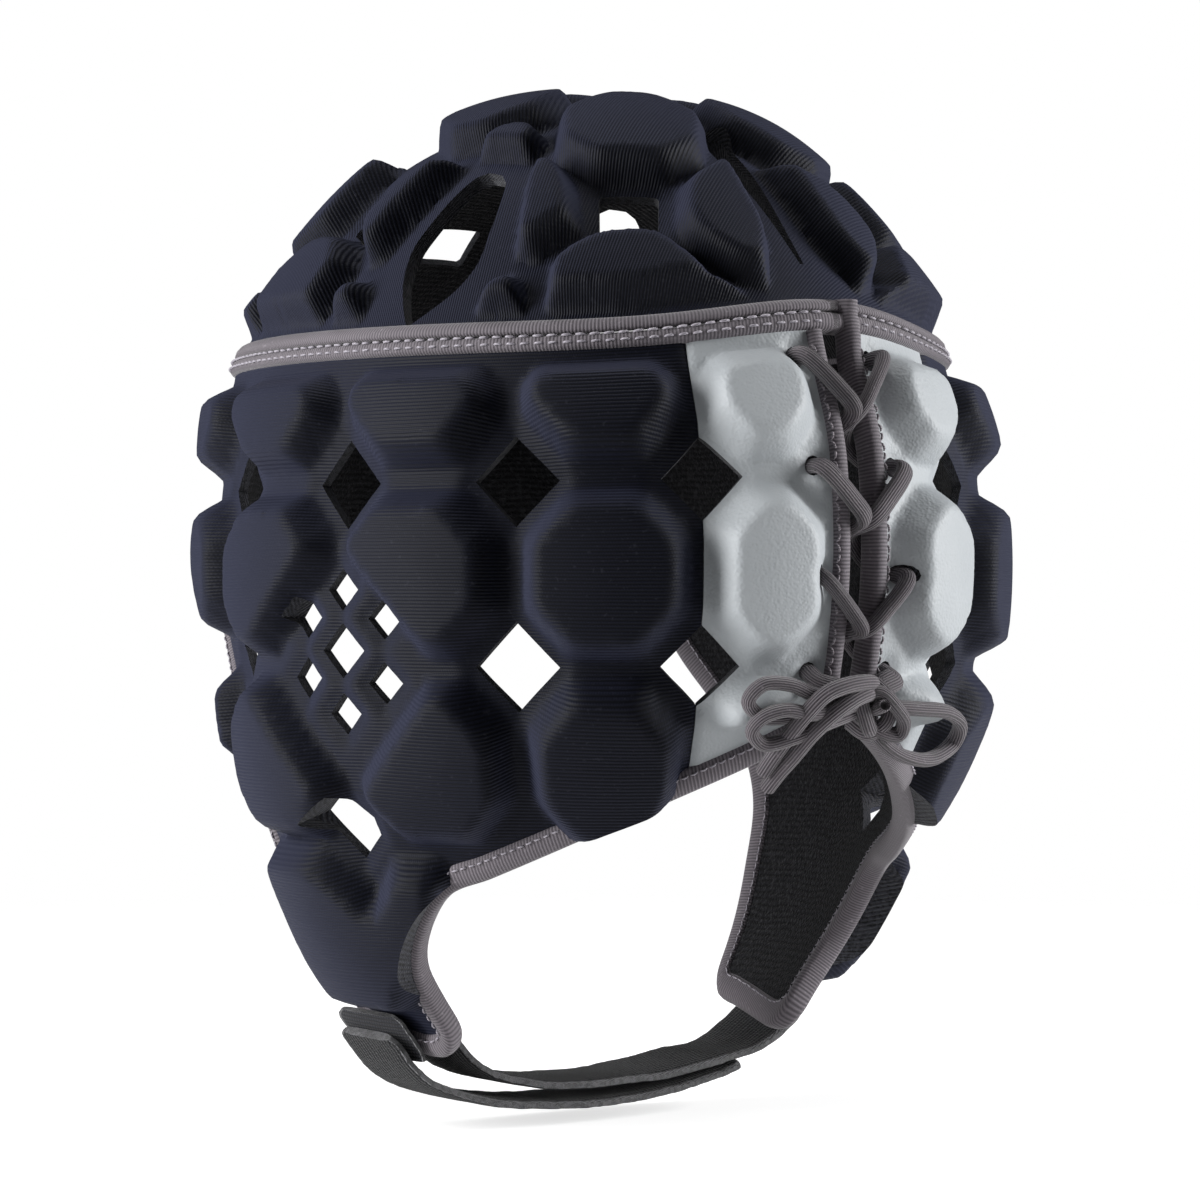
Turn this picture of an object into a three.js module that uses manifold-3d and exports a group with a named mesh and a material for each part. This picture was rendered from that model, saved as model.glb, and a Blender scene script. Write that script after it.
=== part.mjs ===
import * as THREE from 'three';
import Module from 'manifold-3d';

const wasm = await Module();
wasm.setup();

// Sizes of the whole cap, mm. Built with the crown seam at height 0, then lowered onto the head seat.
const SIDE_HALF_WIDTH = 85;      // outside of the thin foam, across the head
const SIDE_HALF_LENGTH = 101;    // outside of the thin foam, front to back
const CROWN_RISE = 57.4;         // crown above its seam
const CROWN_LEAN = 0.04;         // how much higher the crown is toward the back
const RING_SHARE = 0.93;         // the seam is drawn in against the side wall
const RING_FORWARD = 4;          // the seam sits this much toward the face
const BACK_LIFT = 6;             // the seam rises at the lacing
const PATTERN_CENTRE = 15;       // where the five crown petals meet, toward the back
const WALL = 3.5;                // thin foam in the grooves
const PAD = 7;                   // pad height above the thin foam
const SLOPE = 5;                 // width of a pad's sloped side
const TAPE = 3.1;                // seam tape width
const BINDING = 6;               // edge binding width
const TAPE_OVER = 1.1;           // tape standing proud of the foam, both faces
const GAP = 0.3;                 // between touching pieces
const SLIT = 3.1;                // half width of the lacing slit
const LACE_TAPE = 4.2;           // width of the tape along the slit
const GREY_EDGE = 37;            // back panel to side panel, along the wall
const LACE = 3.5;                  // lace thickness
const STRAP_WIDTH = 25;
const STRAP_THICK = 2.4;
const STRAP_Y = -6.5;            // middle of the strap, front to back

// Side wall: share of the half sizes, by height below the seam (rows) and by angle from the back (columns).
const ANGLES = [0, 30, 60, 90, 120, 150, 180];
const WALL_SHARES = [
  [0, 0.93, 0.93, 0.93, 0.93, 0.93, 0.93, 0.93],
  [-25, 0.985, 0.985, 0.985, 0.985, 0.985, 0.985, 0.985],
  [-50, 1, 1, 1, 1, 1, 1, 1],
  [-75, 0.96, 0.97, 0.985, 1, 0.955, 0.95, 0.95],
  [-90, 0.9, 0.9, 0.94, 0.985, 0.93, 0.92, 0.92],
  [-105, 0.83, 0.82, 0.87, 0.95, 0.88, 0.86, 0.86],
  [-120, 0.78, 0.76, 0.79, 0.88, 0.82, 0.8, 0.8],
  [-140, 0.7, 0.69, 0.71, 0.77, 0.73, 0.71, 0.71],
  [-160, 0.57, 0.57, 0.58, 0.6, 0.6, 0.6, 0.6],
  [-175, 0.5, 0.5, 0.52, 0.54, 0.55, 0.55, 0.55],
];
// Lower outline, angle from the back by height: neck side of the opening, then the face side.
const NECK = [[-85, 0], [-92, 12], [-100, 24.8], [-112, 45.3], [-119, 58], [-123, 66], [-131, 71.5], [-142, 75.5],
  [-150, 75.5], [-157, 75], [-161, 77.5], [-162.5, 82]];
const FACE = [[-50, 140], [-56, 133], [-63, 128.5], [-72, 125], [-84, 118.5], [-96, 112.5], [-110, 109],
  [-128, 108], [-146, 107.5], [-153, 107], [-157, 105], [-158.5, 101]];

const rad = (d) => d * Math.PI / 180;
const turn180 = (t) => ((t + 540) % 360) - 180;
const sub = (a, b) => a.map((v, i) => v - b[i]);
const add = (a, b, k = 1) => a.map((v, i) => v + k * b[i]);
const cross = (a, b) => [a[1] * b[2] - a[2] * b[1], a[2] * b[0] - a[0] * b[2], a[0] * b[1] - a[1] * b[0]];
const unit = (a) => { const l = Math.hypot(...a); return a.map((v) => v / l); };

function smooth(xs, ys, x) {
  const n = xs.length;
  const up = xs[n - 1] > xs[0];
  let i = 0;
  while (i < n - 2 && (up ? x > xs[i + 1] : x < xs[i + 1])) i++;
  const h = xs[i + 1] - xs[i];
  const f = Math.min(Math.max((x - xs[i]) / h, 0), 1);
  const d = (k) => k === 0 ? (ys[1] - ys[0]) / (xs[1] - xs[0])
    : k === n - 1 ? (ys[n - 1] - ys[n - 2]) / (xs[n - 1] - xs[n - 2])
      : (ys[k + 1] - ys[k - 1]) / (xs[k + 1] - xs[k - 1]);
  const f2 = f * f, f3 = f2 * f;
  return (2 * f3 - 3 * f2 + 1) * ys[i] + (f3 - 2 * f2 + f) * h * d(i)
    + (3 * f2 - 2 * f3) * ys[i + 1] + (f3 - f2) * h * d(i + 1);
}

const share = (t, z) => {
  const a = Math.abs(turn180(t));
  return smooth(WALL_SHARES.map((r) => r[0]), WALL_SHARES.map((r) => smooth(ANGLES, r.slice(1), a)), z);
};

// Length along the wall, measured on the thin foam at its widest, from the back centre.
const STEPS = 720;
const along = [0];
for (let i = 0; i < STEPS; i++) {
  const a = rad((i + 0.5) * 360 / STEPS);
  along.push(along[i] + Math.hypot(SIDE_HALF_WIDTH * Math.cos(a), SIDE_HALF_LENGTH * Math.sin(a)) * rad(360 / STEPS));
}
const ROUND = along[STEPS];
const FRONT = ROUND / 2;
function angleAt(u) {
  if (u < 0) return -angleAt(-u);
  const k = Math.min(along.findIndex((v) => v >= u) || 1, STEPS);
  const i = k < 1 ? STEPS : k;
  return (i - 1 + (u - along[i - 1]) / (along[i] - along[i - 1])) * 360 / STEPS;
}
function lengthAt(t) {
  const k = Math.min(Math.max(t, 0), 359.99) * STEPS / 360;
  const i = Math.floor(k);
  return along[i] + (along[i + 1] - along[i]) * (k - i);
}

const backLift = (t) => BACK_LIFT * Math.exp(-((turn180(t) / 24) ** 2));
const ringX = SIDE_HALF_WIDTH * RING_SHARE;
const ringY = SIDE_HALF_LENGTH * RING_SHARE;

function sideRaw(u, z) {
  const t = angleAt(u), s = share(t, z), a = rad(t);
  const top = Math.min(Math.max(1 + z / 30, 0), 1);
  return [SIDE_HALF_WIDTH * s * Math.sin(a),
    SIDE_HALF_LENGTH * s * Math.cos(a) - RING_FORWARD * top * top * (3 - 2 * top),
    z + backLift(t) * Math.exp(z / 25)];
}
function crownHeight(x, y) {
  const r = (x / ringX) ** 2 + ((y + RING_FORWARD) / ringY) ** 2;
  const w = Math.max(1 - r, 0);
  const t = Math.atan2(x / ringX, (y + RING_FORWARD) / ringY) * 180 / Math.PI;
  return w ** 0.7 * (0.5 + 1.25 * w - 0.75 * w * w) * (CROWN_RISE + CROWN_LEAN * y) + backLift(t) * r * r;
}
function ringReach(phi) {
  const dx = Math.sin(rad(phi)) / ringX, dy = Math.cos(rad(phi)) / ringY;
  const o = (PATTERN_CENTRE + RING_FORWARD) / ringY;
  const a = dx * dx + dy * dy, b = 2 * o * dy, c = o * o - 1;
  return (-b + Math.sqrt(b * b - 4 * a * c)) / (2 * a);
}
// Crown radius laid flat, from the pattern centre to the seam.
const flatReach = (phi) => 108.2 - 23 * Math.cos(rad(phi)) + 6.8 * Math.cos(2 * rad(phi));
function crownRaw(phi, s) {
  const r = ringReach(phi) * (1.25 * s - 0.25 * s * s);
  const x = r * Math.sin(rad(phi)), y = PATTERN_CENTRE + r * Math.cos(rad(phi));
  return [x, y, crownHeight(x, y)];
}

const SEAT = crownHeight(0, 0) - WALL;   // inside of the crown over the middle of the head
function offsetPoint(raw, a, b, da, db, off, inside) {
  const p = raw(a, b);
  let q = p;
  if (off) {
    const n = unit(cross(sub(raw(a + da, b), raw(a - da, b)), sub(raw(a, b + db), raw(a, b - db))));
    const out = sub(p, inside);
    const k = n[0] * out[0] + n[1] * out[1] + n[2] * out[2] > 0 ? off : -off;
    q = add(p, n, k);
  }
  return [q[0], q[1], q[2] - SEAT];
}
const side = (u, z, off = 0) => offsetPoint(sideRaw, u, z, 1, 0.5, off, [0, 0, z]);
const polar = (phi, s, off = 0) => offsetPoint(crownRaw, phi, Math.min(Math.max(s, 0.004), 0.998),
  0.5, 0.004, off, [0, 0, -30]);
const crown = (x, y, off = 0) => {
  const phi = Math.atan2(x, y) * 180 / Math.PI;
  return polar(phi, Math.max(Math.hypot(x, y), 0.4) / flatReach(phi), off);
};
const petal = (phi, q) => [q * flatReach(phi) * Math.sin(rad(phi)), q * flatReach(phi) * Math.cos(rad(phi))];

// Solids
function solid(points, faces) {
  let volume = 0;
  for (const [a, b, c] of faces) {
    const n = cross(points[b], points[c]);
    volume += points[a][0] * n[0] + points[a][1] * n[1] + points[a][2] * n[2];
  }
  const tri = volume < 0 ? faces.map(([a, b, c]) => [a, c, b]) : faces;
  return new wasm.Manifold(new wasm.Mesh({
    numProp: 3, vertProperties: new Float32Array(points.flat()), triVerts: new Uint32Array(tri.flat()),
  }));
}
const quad = (a, b, c, d) => [[a, b, c], [a, c, d]];

// A sheet of wall between two depths: a grid of places, the cells kept, walls round every open edge.
function sheet(grid, map, low, high, keep = () => true) {
  const m = grid.length, n = grid[0].length;
  const points = [], ids = new Map(), faces = [], seen = new Map();
  const at = (k, i, j) => {
    const key = (k * m + i) * n + j;
    if (!ids.has(key)) {
      ids.set(key, points.length);
      points.push(map(grid[i][j][0], grid[i][j][1], k ? low : high));
    }
    return ids.get(key);
  };
  for (let i = 0; i < m - 1; i++) {
    for (let j = 0; j < n - 1; j++) {
      if (!keep(i, j)) continue;
      const c = [[i, j], [i + 1, j], [i + 1, j + 1], [i, j + 1]];
      faces.push(...quad(...c.map(([a, b]) => at(0, a, b))), ...quad(...c.reverse().map(([a, b]) => at(1, a, b))));
      c.reverse().forEach((p, k) => {
        const q = c[(k + 1) % 4];
        if (!seen.delete(q + '/' + p)) seen.set(p + '/' + q, [p, q]);
      });
    }
  }
  for (const [p, q] of seen.values()) faces.push(...quad(at(0, ...q), at(0, ...p), at(1, ...p), at(1, ...q)));
  return solid(points, faces);
}

// Stacked outlines joined by side walls, closed by a fan at each end.
function stack(loops, map) {
  const n = loops[0].outline.length;
  const points = [];
  for (const l of loops) for (const p of l.outline) points.push(map(p[0], p[1], l.off));
  const faces = [];
  for (let k = 0; k < loops.length - 1; k++) {
    for (let i = 0; i < n; i++) {
      const j = (i + 1) % n;
      faces.push(...quad(k * n + i, k * n + j, (k + 1) * n + j, (k + 1) * n + i));
    }
  }
  [[0, -0.4], [loops.length - 1, 0.5]].forEach(([k, rise]) => {
    const o = loops[k].outline;
    const c = o.reduce((s, p) => add(s, p, 1 / n), [0, 0]);
    points.push(map(c[0], c[1], loops[k].off + rise));
    for (let i = 0; i < n; i++) {
      const j = (i + 1) % n;
      faces.push(k ? [k * n + i, k * n + j, points.length - 1] : [i, points.length - 1, j]);
    }
  });
  return solid(points, faces);
}
const finish = (shell, pads, cuts) =>
  largest(wasm.Manifold.difference([join([shell, pads]), ...cuts])).asOriginal().simplify(0.2);
function inset(outline, by) {
  const n = outline.length;
  const c = outline.reduce((s, p) => add(s, p, 1 / n), [0, 0]);
  const w = Math.max(...outline.map((p) => Math.abs(p[0] - c[0])));
  const h = Math.max(...outline.map((p) => Math.abs(p[1] - c[1])));
  const kx = Math.max(1 - by / w, 0.25), ky = Math.max(1 - by / h, 0.25);
  return outline.map((p) => [c[0] + (p[0] - c[0]) * kx, c[1] + (p[1] - c[1]) * ky]);
}
function pad(outline, map, height = PAD, slope = SLOPE) {
  return stack([{ outline, off: -WALL / 2 }, { outline: inset(outline, slope), off: height }], map);
}
const hole = (outline, map) => stack([{ outline, off: -WALL - 4 }, { outline, off: PAD + 5 }], map);

function octagon(cx, cy, w, h, cuts, turn = 0) {
  const c = Array.isArray(cuts) ? cuts : [cuts, cuts, cuts, cuts];
  const x = w / 2, y = h / 2;
  const o = [[-x, -y + c[0]], [-x + c[0], -y], [x - c[1], -y], [x, -y + c[1]], [x, y - c[2]], [x - c[2], y],
    [-x + c[3], y], [-x, y - c[3]]];
  const s = Math.sin(rad(turn)), k = Math.cos(rad(turn));
  return o.map(([a, b]) => [cx + a * k + b * s, cy - a * s + b * k]);
}
const diamond = (u, z, w, h = w) => [[u - w, z], [u, z + h], [u + w, z], [u, z - h]];
const mirrored = (outline) => outline.map(([u, z]) => [-u, z]);
const join = (parts) => wasm.Manifold.union(parts);
const largest = (body) => body.decompose().reduce((a, b) => b.volume() > a.volume() ? b : a);

// Lower outline as lengths along the wall
const neckAt = (z) => lengthAt(smooth(NECK.map((p) => p[0]), NECK.map((p) => p[1]), z));
const faceAt = (z) => lengthAt(smooth(FACE.map((p) => p[0]), FACE.map((p) => p[1]), z));
function lowerOutline() {
  const line = [];
  for (const [z] of NECK) line.push([neckAt(z), z]);
  for (const [z] of [...FACE].reverse()) line.push([faceAt(z), z]);
  return line;
}
function insetLine(line, by) {
  return line.map((p, i) => {
    const a = line[Math.max(i - 1, 0)], b = line[Math.min(i + 1, line.length - 1)];
    const d = unit([b[0] - a[0], b[1] - a[1]]);
    return [p[0] - d[1] * by, p[1] + d[0] * by];
  });
}
const edge = lowerOutline();
const trimmed = insetLine(edge, BINDING / 2);
const crossing = (line, z, from, to) => {
  for (let i = from; i < to; i++) {
    const [a, b] = [line[i], line[i + 1]];
    if ((a[1] - z) * (b[1] - z) <= 0 && a[1] !== b[1]) return a[0] + (b[0] - a[0]) * (z - a[1]) / (b[1] - a[1]);
  }
  return null;
};
const halfway = NECK.length;

// Foam panels: pads by column (place along the wall, width) and row (height of the middle, height)
const COLUMNS = [[22.6, 26.5], [57.8, 37.5], [101.5, 42], [148.5, 43.5], [195.5, 41], [243.5, 44]];
const ROWS = [[-17.2, 22.5], [-51.6, 37.5], [-92.2, 37.5]];
const CROSSINGS = [37, 78.5, 124.5, 172, 219.5, 268];
const CUT = 10.5;
const EAR_CUT = 23;              // corners cut back round the ear holes
const DIAMOND = 10;              // half diagonal of the diamond holes
const EAR = [126, -68.3];        // middle of the ear holes

function frontPads() {
  const list = [];
  COLUMNS.forEach(([u, w], c) => {
    if (c === 0) return;
    ROWS.forEach(([z, h], r) => {
      const cuts = [CUT, CUT, CUT, CUT];
      if (r === 1 && c === 2) cuts[1] = EAR_CUT;
      if (r === 1 && c === 3) cuts[0] = EAR_CUT;
      if (r === 2 && c === 2) cuts[2] = EAR_CUT;
      if (r === 2 && c === 3) cuts[3] = EAR_CUT;
      if (r === 2 && c > 3) return;
      if (r === 1 && c > 3) return;
      if (r === 0) cuts[2] = cuts[3] = 5;
      list.push(octagon(u, z, w, h, cuts));
    });
  });
  list.push(octagon(190.5, -49.5, 31, 33, [9, 15, 9, 9]));
  list.push(octagon(182, -84, 11, 24, 4));
  list.push(octagon(229, -39.5, 26, 11, 4), octagon(265, -39.5, 32, 11, 4));
  list.push([[127, -121], [141, -111], [166, -111], [170, -118], [168, -140], [164, -150], [128, -151], [119, -140]]);
  list.push([[112, -136], [103, -122], [101, -117], [106, -113.5], [118, -113.5], [124, -119], [150, -145],
    [128, -151]]);
  return list;
}
const diamonds = [];
CROSSINGS.forEach((u, i) => {
  if (i < 5) diamonds.push(diamond(u, -31.3, i ? DIAMOND : DIAMOND - 0.9));
  if (i < 2) diamonds.push(diamond(u, -71.8, i ? DIAMOND : DIAMOND - 0.9));
});
diamonds.push(diamond(172, -68, 7, 7));
for (const [du, dz] of [[0, 13.6], [0, -14.2], [-13.2, 7.2], [-13, -7.2], [12.4, 7.4], [12.6, -6.2]]) {
  diamonds.push(diamond(EAR[0] + du, EAR[1] + dz, 5, 4.7));
}
diamonds.push(diamond(EAR[0], EAR[1], 6.9, 6.2));
diamonds.push([[131, -100], [139.5, -105.5], [129, -115.5], [121.8, -110], [122.5, -106]]);

function sidePanel() {
  const count = 12, frontCount = 4;
  const start = GREY_EDGE + GAP / 2, faceTop = trimmed[trimmed.length - 1][0];
  const columns = Array.from({ length: count + 1 }, (_, i) => start + (faceTop - start) * i / count);
  const front = Array.from({ length: frontCount - 1 }, (_, i) => faceTop + (FRONT - faceTop) * (i + 1) / frontCount);
  const half = [...columns, ...front];
  const belt = [...half, FRONT, ...half.map((u) => ROUND - u).reverse()];
  const top = -TAPE - GAP, foot = -50 + BINDING + GAP;
  const lastZ = (trimmed[halfway][1] + trimmed[halfway - 1][1]) / 2;
  const lowZ = [-60, -74, -88, -101, -113, -124, -135, -146, lastZ];
  const grid = [top, -16, -30, foot].map((z) => belt.map((u) => [u, z]));
  lowZ.forEach((z, k) => {
    const n = crossing(trimmed, z, 0, halfway - 1) ?? 0;
    const end = k === lowZ.length - 1;
    const from = end ? trimmed[halfway - 1] : [Math.max(n, start), z];
    const to = end ? trimmed[halfway] : [crossing(trimmed, z, halfway, trimmed.length - 1), z];
    const left = columns.map((_, i) => add(from, sub(to, from), i / count));
    const between = belt.slice(left.length, -left.length).map((u) => [u, z]);
    grid.push([...left, ...between, ...left.map(([u, v]) => [ROUND - u, v]).reverse()]);
  });
  const body = sheet(grid, side, -WALL, 0, (i, j) => i < 3 || j < count || j >= belt.length - 1 - count);
  const pads = frontPads();
  pads.push(...pads.map(mirrored), octagon(FRONT, ROWS[0][0], 43, ROWS[0][1], [CUT, CUT, 5, 5]),
    octagon(FRONT, -39.5, 20, 11, 4));
  const raised = join(pads.map((o) => pad(o, side)));
  const cuts = diamonds.flatMap((o) => [hole(o, side), hole(mirrored(o), side)]);
  return finish(body, raised.subtract(sideTape(GAP)), [...cuts, binding(1, GAP), binding(-1, GAP)]);
}

function backPanel(sign) {
  const from = SLIT + LACE_TAPE + GAP, to = GREY_EDGE - GAP / 2;
  const cols = 5, rows = 9;
  const grid = [];
  for (let j = 0; j <= rows; j++) {
    grid.push(Array.from({ length: cols + 1 }, (_, i) => {
      const u = from + (to - from) * i / cols;
      let low = null;
      for (let k = 0; k < halfway - 1 && low === null; k++) {
        const [a, b] = [trimmed[k], trimmed[k + 1]];
        if ((a[0] - u) * (b[0] - u) <= 0) low = a[1] + (b[1] - a[1]) * (u - a[0]) / (b[0] - a[0]);
      }
      const top = -TAPE - GAP;
      return [sign * u, top + ((low ?? -86) - top) * j / rows];
    }));
  }
  const pads = [octagon(22.6, ROWS[0][0], 26, ROWS[0][1], [8, 8, 5, 5]), octagon(22.6, ROWS[1][0], 26, 37.5, 9),
    [[12, -76], [18, -73.5], [28, -73.5], [33.5, -78], [33.5, -84], [29, -86], [18, -81.5], [12.5, -79]]];
  const flip = (o) => sign > 0 ? o : mirrored(o);
  const raised = join(pads.map((o) => pad(flip(o), side, PAD, 4)));
  const near = diamonds.filter((o) => o.some(([u]) => u < GREY_EDGE));
  const cuts = near.map((o) => hole(flip(o), side));
  const eyelets = EYELETS.map((z) => hole(flip(octagon(EYELET_U, z, LACE + 1.4, LACE + 1.4, 1.6)), side));
  return finish(sheet(grid, side, -WALL, 0),
    wasm.Manifold.difference([raised, sideTape(GAP), laceTape(sign, GAP)]), [...cuts, ...eyelets, binding(sign, GAP)]);
}
const EYELETS = [-8, -29.5, -52, -73];
const EYELET_U = 11.2;

// Crown: five petals. Pads and window as [degrees off the petal's middle, share of the way to the seam].
const PETALS = [36, 112, 180, -112, -36];
const GAPS = [[78, 0.54], [147, 0.54], [-147, 0.54], [-78, 0.54], [0, 0.31]];
const LONG_PAD = [[29, 0.52], [20, 0.515], [13, 0.6], [10, 0.73], [19, 0.815], [24, 0.8], [26, 0.71], [29, 0.57]];
const LONG_PAD_BACK = [[30, 0.49], [19, 0.54], [12, 0.6], [10, 0.73], [13, 0.81], [20, 0.9], [26, 0.93], [30, 0.79]];
const BROAD_PAD = [[-7, 0.735], [7, 0.735], [16, 0.82], [15, 0.955], [0, 0.955], [-15, 0.955], [-16, 0.82]];
const BROAD_PAD_BACK = [[-7, 0.735], [7, 0.735], [16, 0.82], [15, 0.955], [0, 0.955], [-23, 0.955], [-16, 0.87]];
const CORNER_PAD = [[23, 0.84], [19.5, 0.865], [18, 0.955], [28, 0.955], [29, 0.94], [27, 0.87]];
const SLOT = [[0, 2.5], [0.03, 5], [0.16, 8], [0.4, 11.3], [0.56, 12.8], [0.74, 10.5], [0.9, 5.2], [1, 0.8]];
const DART = [[0, 1.5], [0.12, 3.6], [0.4, 3.2], [0.7, 1.7], [1, 0.6]];
function crownPanel() {
  const spokes = 28, rings = [0.18, 0.4, 0.6, 0.8, 1];
  const lip = (TAPE + GAP * 3) / 95;
  const points = [], faces = [];
  for (const off of [0, -WALL]) {
    points.push(polar(0, 0, off));
    for (const s of rings) {
      for (let i = 0; i < spokes; i++) points.push(polar(i * 360 / spokes, s * (1 - lip), off));
    }
  }
  const one = 1 + rings.length * spokes;
  const at = (k, r, i) => k * one + 1 + r * spokes + i % spokes;
  for (let i = 0; i < spokes; i++) {
    faces.push([0, at(0, 0, i), at(0, 0, i + 1)], [one, at(1, 0, i + 1), at(1, 0, i)]);
    for (let r = 0; r < rings.length - 1; r++) {
      faces.push(...quad(at(0, r, i), at(0, r + 1, i), at(0, r + 1, i + 1), at(0, r, i + 1)));
      faces.push(...quad(at(1, r, i), at(1, r, i + 1), at(1, r + 1, i + 1), at(1, r + 1, i)));
    }
    const e = rings.length - 1;
    faces.push(...quad(at(0, e, i), at(1, e, i), at(1, e, i + 1), at(0, e, i + 1)));
  }
  const body = [], cuts = [];
  PETALS.forEach((phi, i) => {
    const narrow = Math.abs(phi) === 36 ? 1 : 0.78;
    const place = (list, k = 1) => list.map(([d, q]) => petal(phi + k * d * narrow, q));
    const back = { 0: -1, 4: 1 }[i] ?? 0;
    const c = petal(phi, 33 / flatReach(phi));
    body.push(pad(octagon(c[0], c[1], 38, 38, [13, 13, 9.5, 9.5], phi), crown));
    for (const k of [-1, 1]) {
      body.push(pad(place(k === back ? LONG_PAD_BACK : LONG_PAD, k), crown, PAD, 4));
      if (k !== back) body.push(pad(place(CORNER_PAD, k), crown, PAD - 1, 4));
    }
    body.push(pad(place(back ? BROAD_PAD_BACK : BROAD_PAD, -back || 1), crown));
    const h = petal(phi, 61 / flatReach(36));
    cuts.push(hole(octagon(h[0], h[1], 15.5, 13, 0.8, phi), crown));
  });
  GAPS.forEach(([phi, first]) => {
    if (phi) {
      const turned = (list) => list.map(([d, r]) => petal(phi + d, r / flatReach(phi)));
      body.push(pad(turned([[-7, 37], [7, 37], [12, 42], [11, 49.5], [-11, 49.5], [-12, 42]]), crown, PAD - 1, 3));
    }
    const half = phi ? SLOT : DART, last = phi ? 0.965 : 0.84;
    const steps = 7;
    const rows = Array.from({ length: steps + 1 }, (_, i) => {
      const f = i / steps, [x, y] = petal(phi, first + (last - first) * f);
      const wide = smooth(half.map((p) => p[0]), half.map((p) => p[1]), f);
      return [-1, 1].map((k) => [x + k * wide * Math.cos(rad(phi)), y - k * wide * Math.sin(rad(phi))]);
    });
    cuts.push(sheet(rows, crown, -WALL - 4, PAD + 5));
  });
  return finish(solid(points, faces), join(body), [...cuts, crownTape(GAP)]);
}

// Bands: a strip of the wall, closed round the head or open
function ribbon(inner, outer, map, low, high, closed = false) {
  const points = [], faces = [];
  const n = inner.length;
  for (let i = 0; i < n; i++) {
    for (const [p, off] of [[inner[i], high], [outer[i], high], [outer[i], low], [inner[i], low]]) {
      points.push(map(p[0], p[1], off));
    }
  }
  const last = closed ? n : n - 1;
  for (let i = 0; i < last; i++) {
    const a = i * 4, b = ((i + 1) % n) * 4;
    for (let k = 0; k < 4; k++) faces.push(...quad(a + k, b + k, b + (k + 1) % 4, a + (k + 1) % 4));
  }
  if (!closed) faces.push(...quad(0, 1, 2, 3), ...quad(n * 4 - 1, n * 4 - 2, n * 4 - 3, n * 4 - 4));
  return solid(points, faces);
}
const round = Array.from({ length: 48 }, (_, i) => i * 7.5);
// The seam tapes stand upright, so their thickness runs level.
function upright(phi, s, off) {
  const p = polar(phi, s), a = Math.atan2(p[0] / ringX, (p[1] + RING_FORWARD) / ringY);
  return add(p, unit([Math.sin(a) / ringX, Math.cos(a) / ringY, 0]), off);
}
const crownTape = (grow = 0) => ribbon(round.map((t) => [t, 1 - (TAPE + GAP * 2 + grow) / 95]),
  round.map((t) => [t, 0.998]), upright, -WALL - TAPE_OVER + 0.5 - grow * 15, TAPE_OVER + grow * 30, true);
function sideTape(grow = 0) {
  const place = round.map((t) => lengthAt(t));
  return ribbon(place.map((u) => [u, -TAPE - grow]), place.map((u) => [u, -GAP + grow]), side,
    -WALL - TAPE_OVER + 0.5 - grow * 15, TAPE_OVER + grow * 30, true);
}
function laceTape(sign, grow = 0) {
  const zs = [-TAPE - GAP + grow, -14, -26, -38, -50, -62, -72, -78 - grow];
  return ribbon(zs.map((z) => [sign * (SLIT + LACE_TAPE + grow), z]), zs.map((z) => [sign * (SLIT - grow), z]), side,
    -WALL - TAPE_OVER + 0.5 - grow * 15, TAPE_OVER + grow * 30);
}
function binding(sign, grow = 0) {
  const line = [[SLIT + 0.001, -85], ...edge.slice(1)];
  const fine = [];
  for (let i = 0; i < line.length - 1; i++) {
    const steps = Math.max(1, Math.round(Math.hypot(line[i + 1][0] - line[i][0], line[i + 1][1] - line[i][1]) / 9));
    for (let k = 0; k < steps; k++) fine.push(add(line[i], sub(line[i + 1], line[i]), k / steps));
  }
  fine.push(line[line.length - 1]);
  const foot = [];
  for (let i = 1; i <= 6; i++) foot.push([faceAt(-50) + (FRONT - 0.15 - faceAt(-50)) * i / 6, -50]);
  const outer = [...fine, ...foot];
  const inner = insetLine(outer, BINDING + grow), out = grow ? insetLine(outer, -5) : outer;
  return ribbon(inner.map(([u, z]) => [sign * u, z]), out.map(([u, z]) => [sign * u, z]), side,
    -WALL - TAPE_OVER + 0.5 - grow * 15, TAPE_OVER + grow * 30);
}

// Round cord along a curve
function cord(points, thick, sides = 8, steps = points.length * 2) {
  const curve = new THREE.CatmullRomCurve3(points.map((p) => new THREE.Vector3(...p)), false, 'centripetal');
  const shape = new THREE.Shape();
  for (let i = 0; i <= sides; i++) {
    const a = i * 2 * Math.PI / sides;
    const x = Math.cos(a) * thick / 2, y = Math.sin(a) * thick / 2;
    i ? shape.lineTo(x, y) : shape.moveTo(x, y);
  }
  const g = new THREE.ExtrudeGeometry(shape, { steps, curveSegments: 1, bevelEnabled: false, extrudePath: curve });
  return fromGeometry(g);
}
function fromGeometry(g) {
  const pos = g.getAttribute('position');
  const index = new Map(), points = [], ids = [];
  for (let i = 0; i < pos.count; i++) {
    const p = [pos.getX(i), pos.getY(i), pos.getZ(i)];
    const key = p.map((v) => Math.round(v * 1e4)).join();
    if (!index.has(key)) { index.set(key, points.length); points.push(p); }
    ids.push(index.get(key));
  }
  const faces = [];
  for (let i = 0; i < ids.length; i += 3) {
    const f = [ids[i], ids[i + 1], ids[i + 2]];
    if (new Set(f).size === 3) faces.push(f);
  }
  return solid(points, faces);
}

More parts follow.
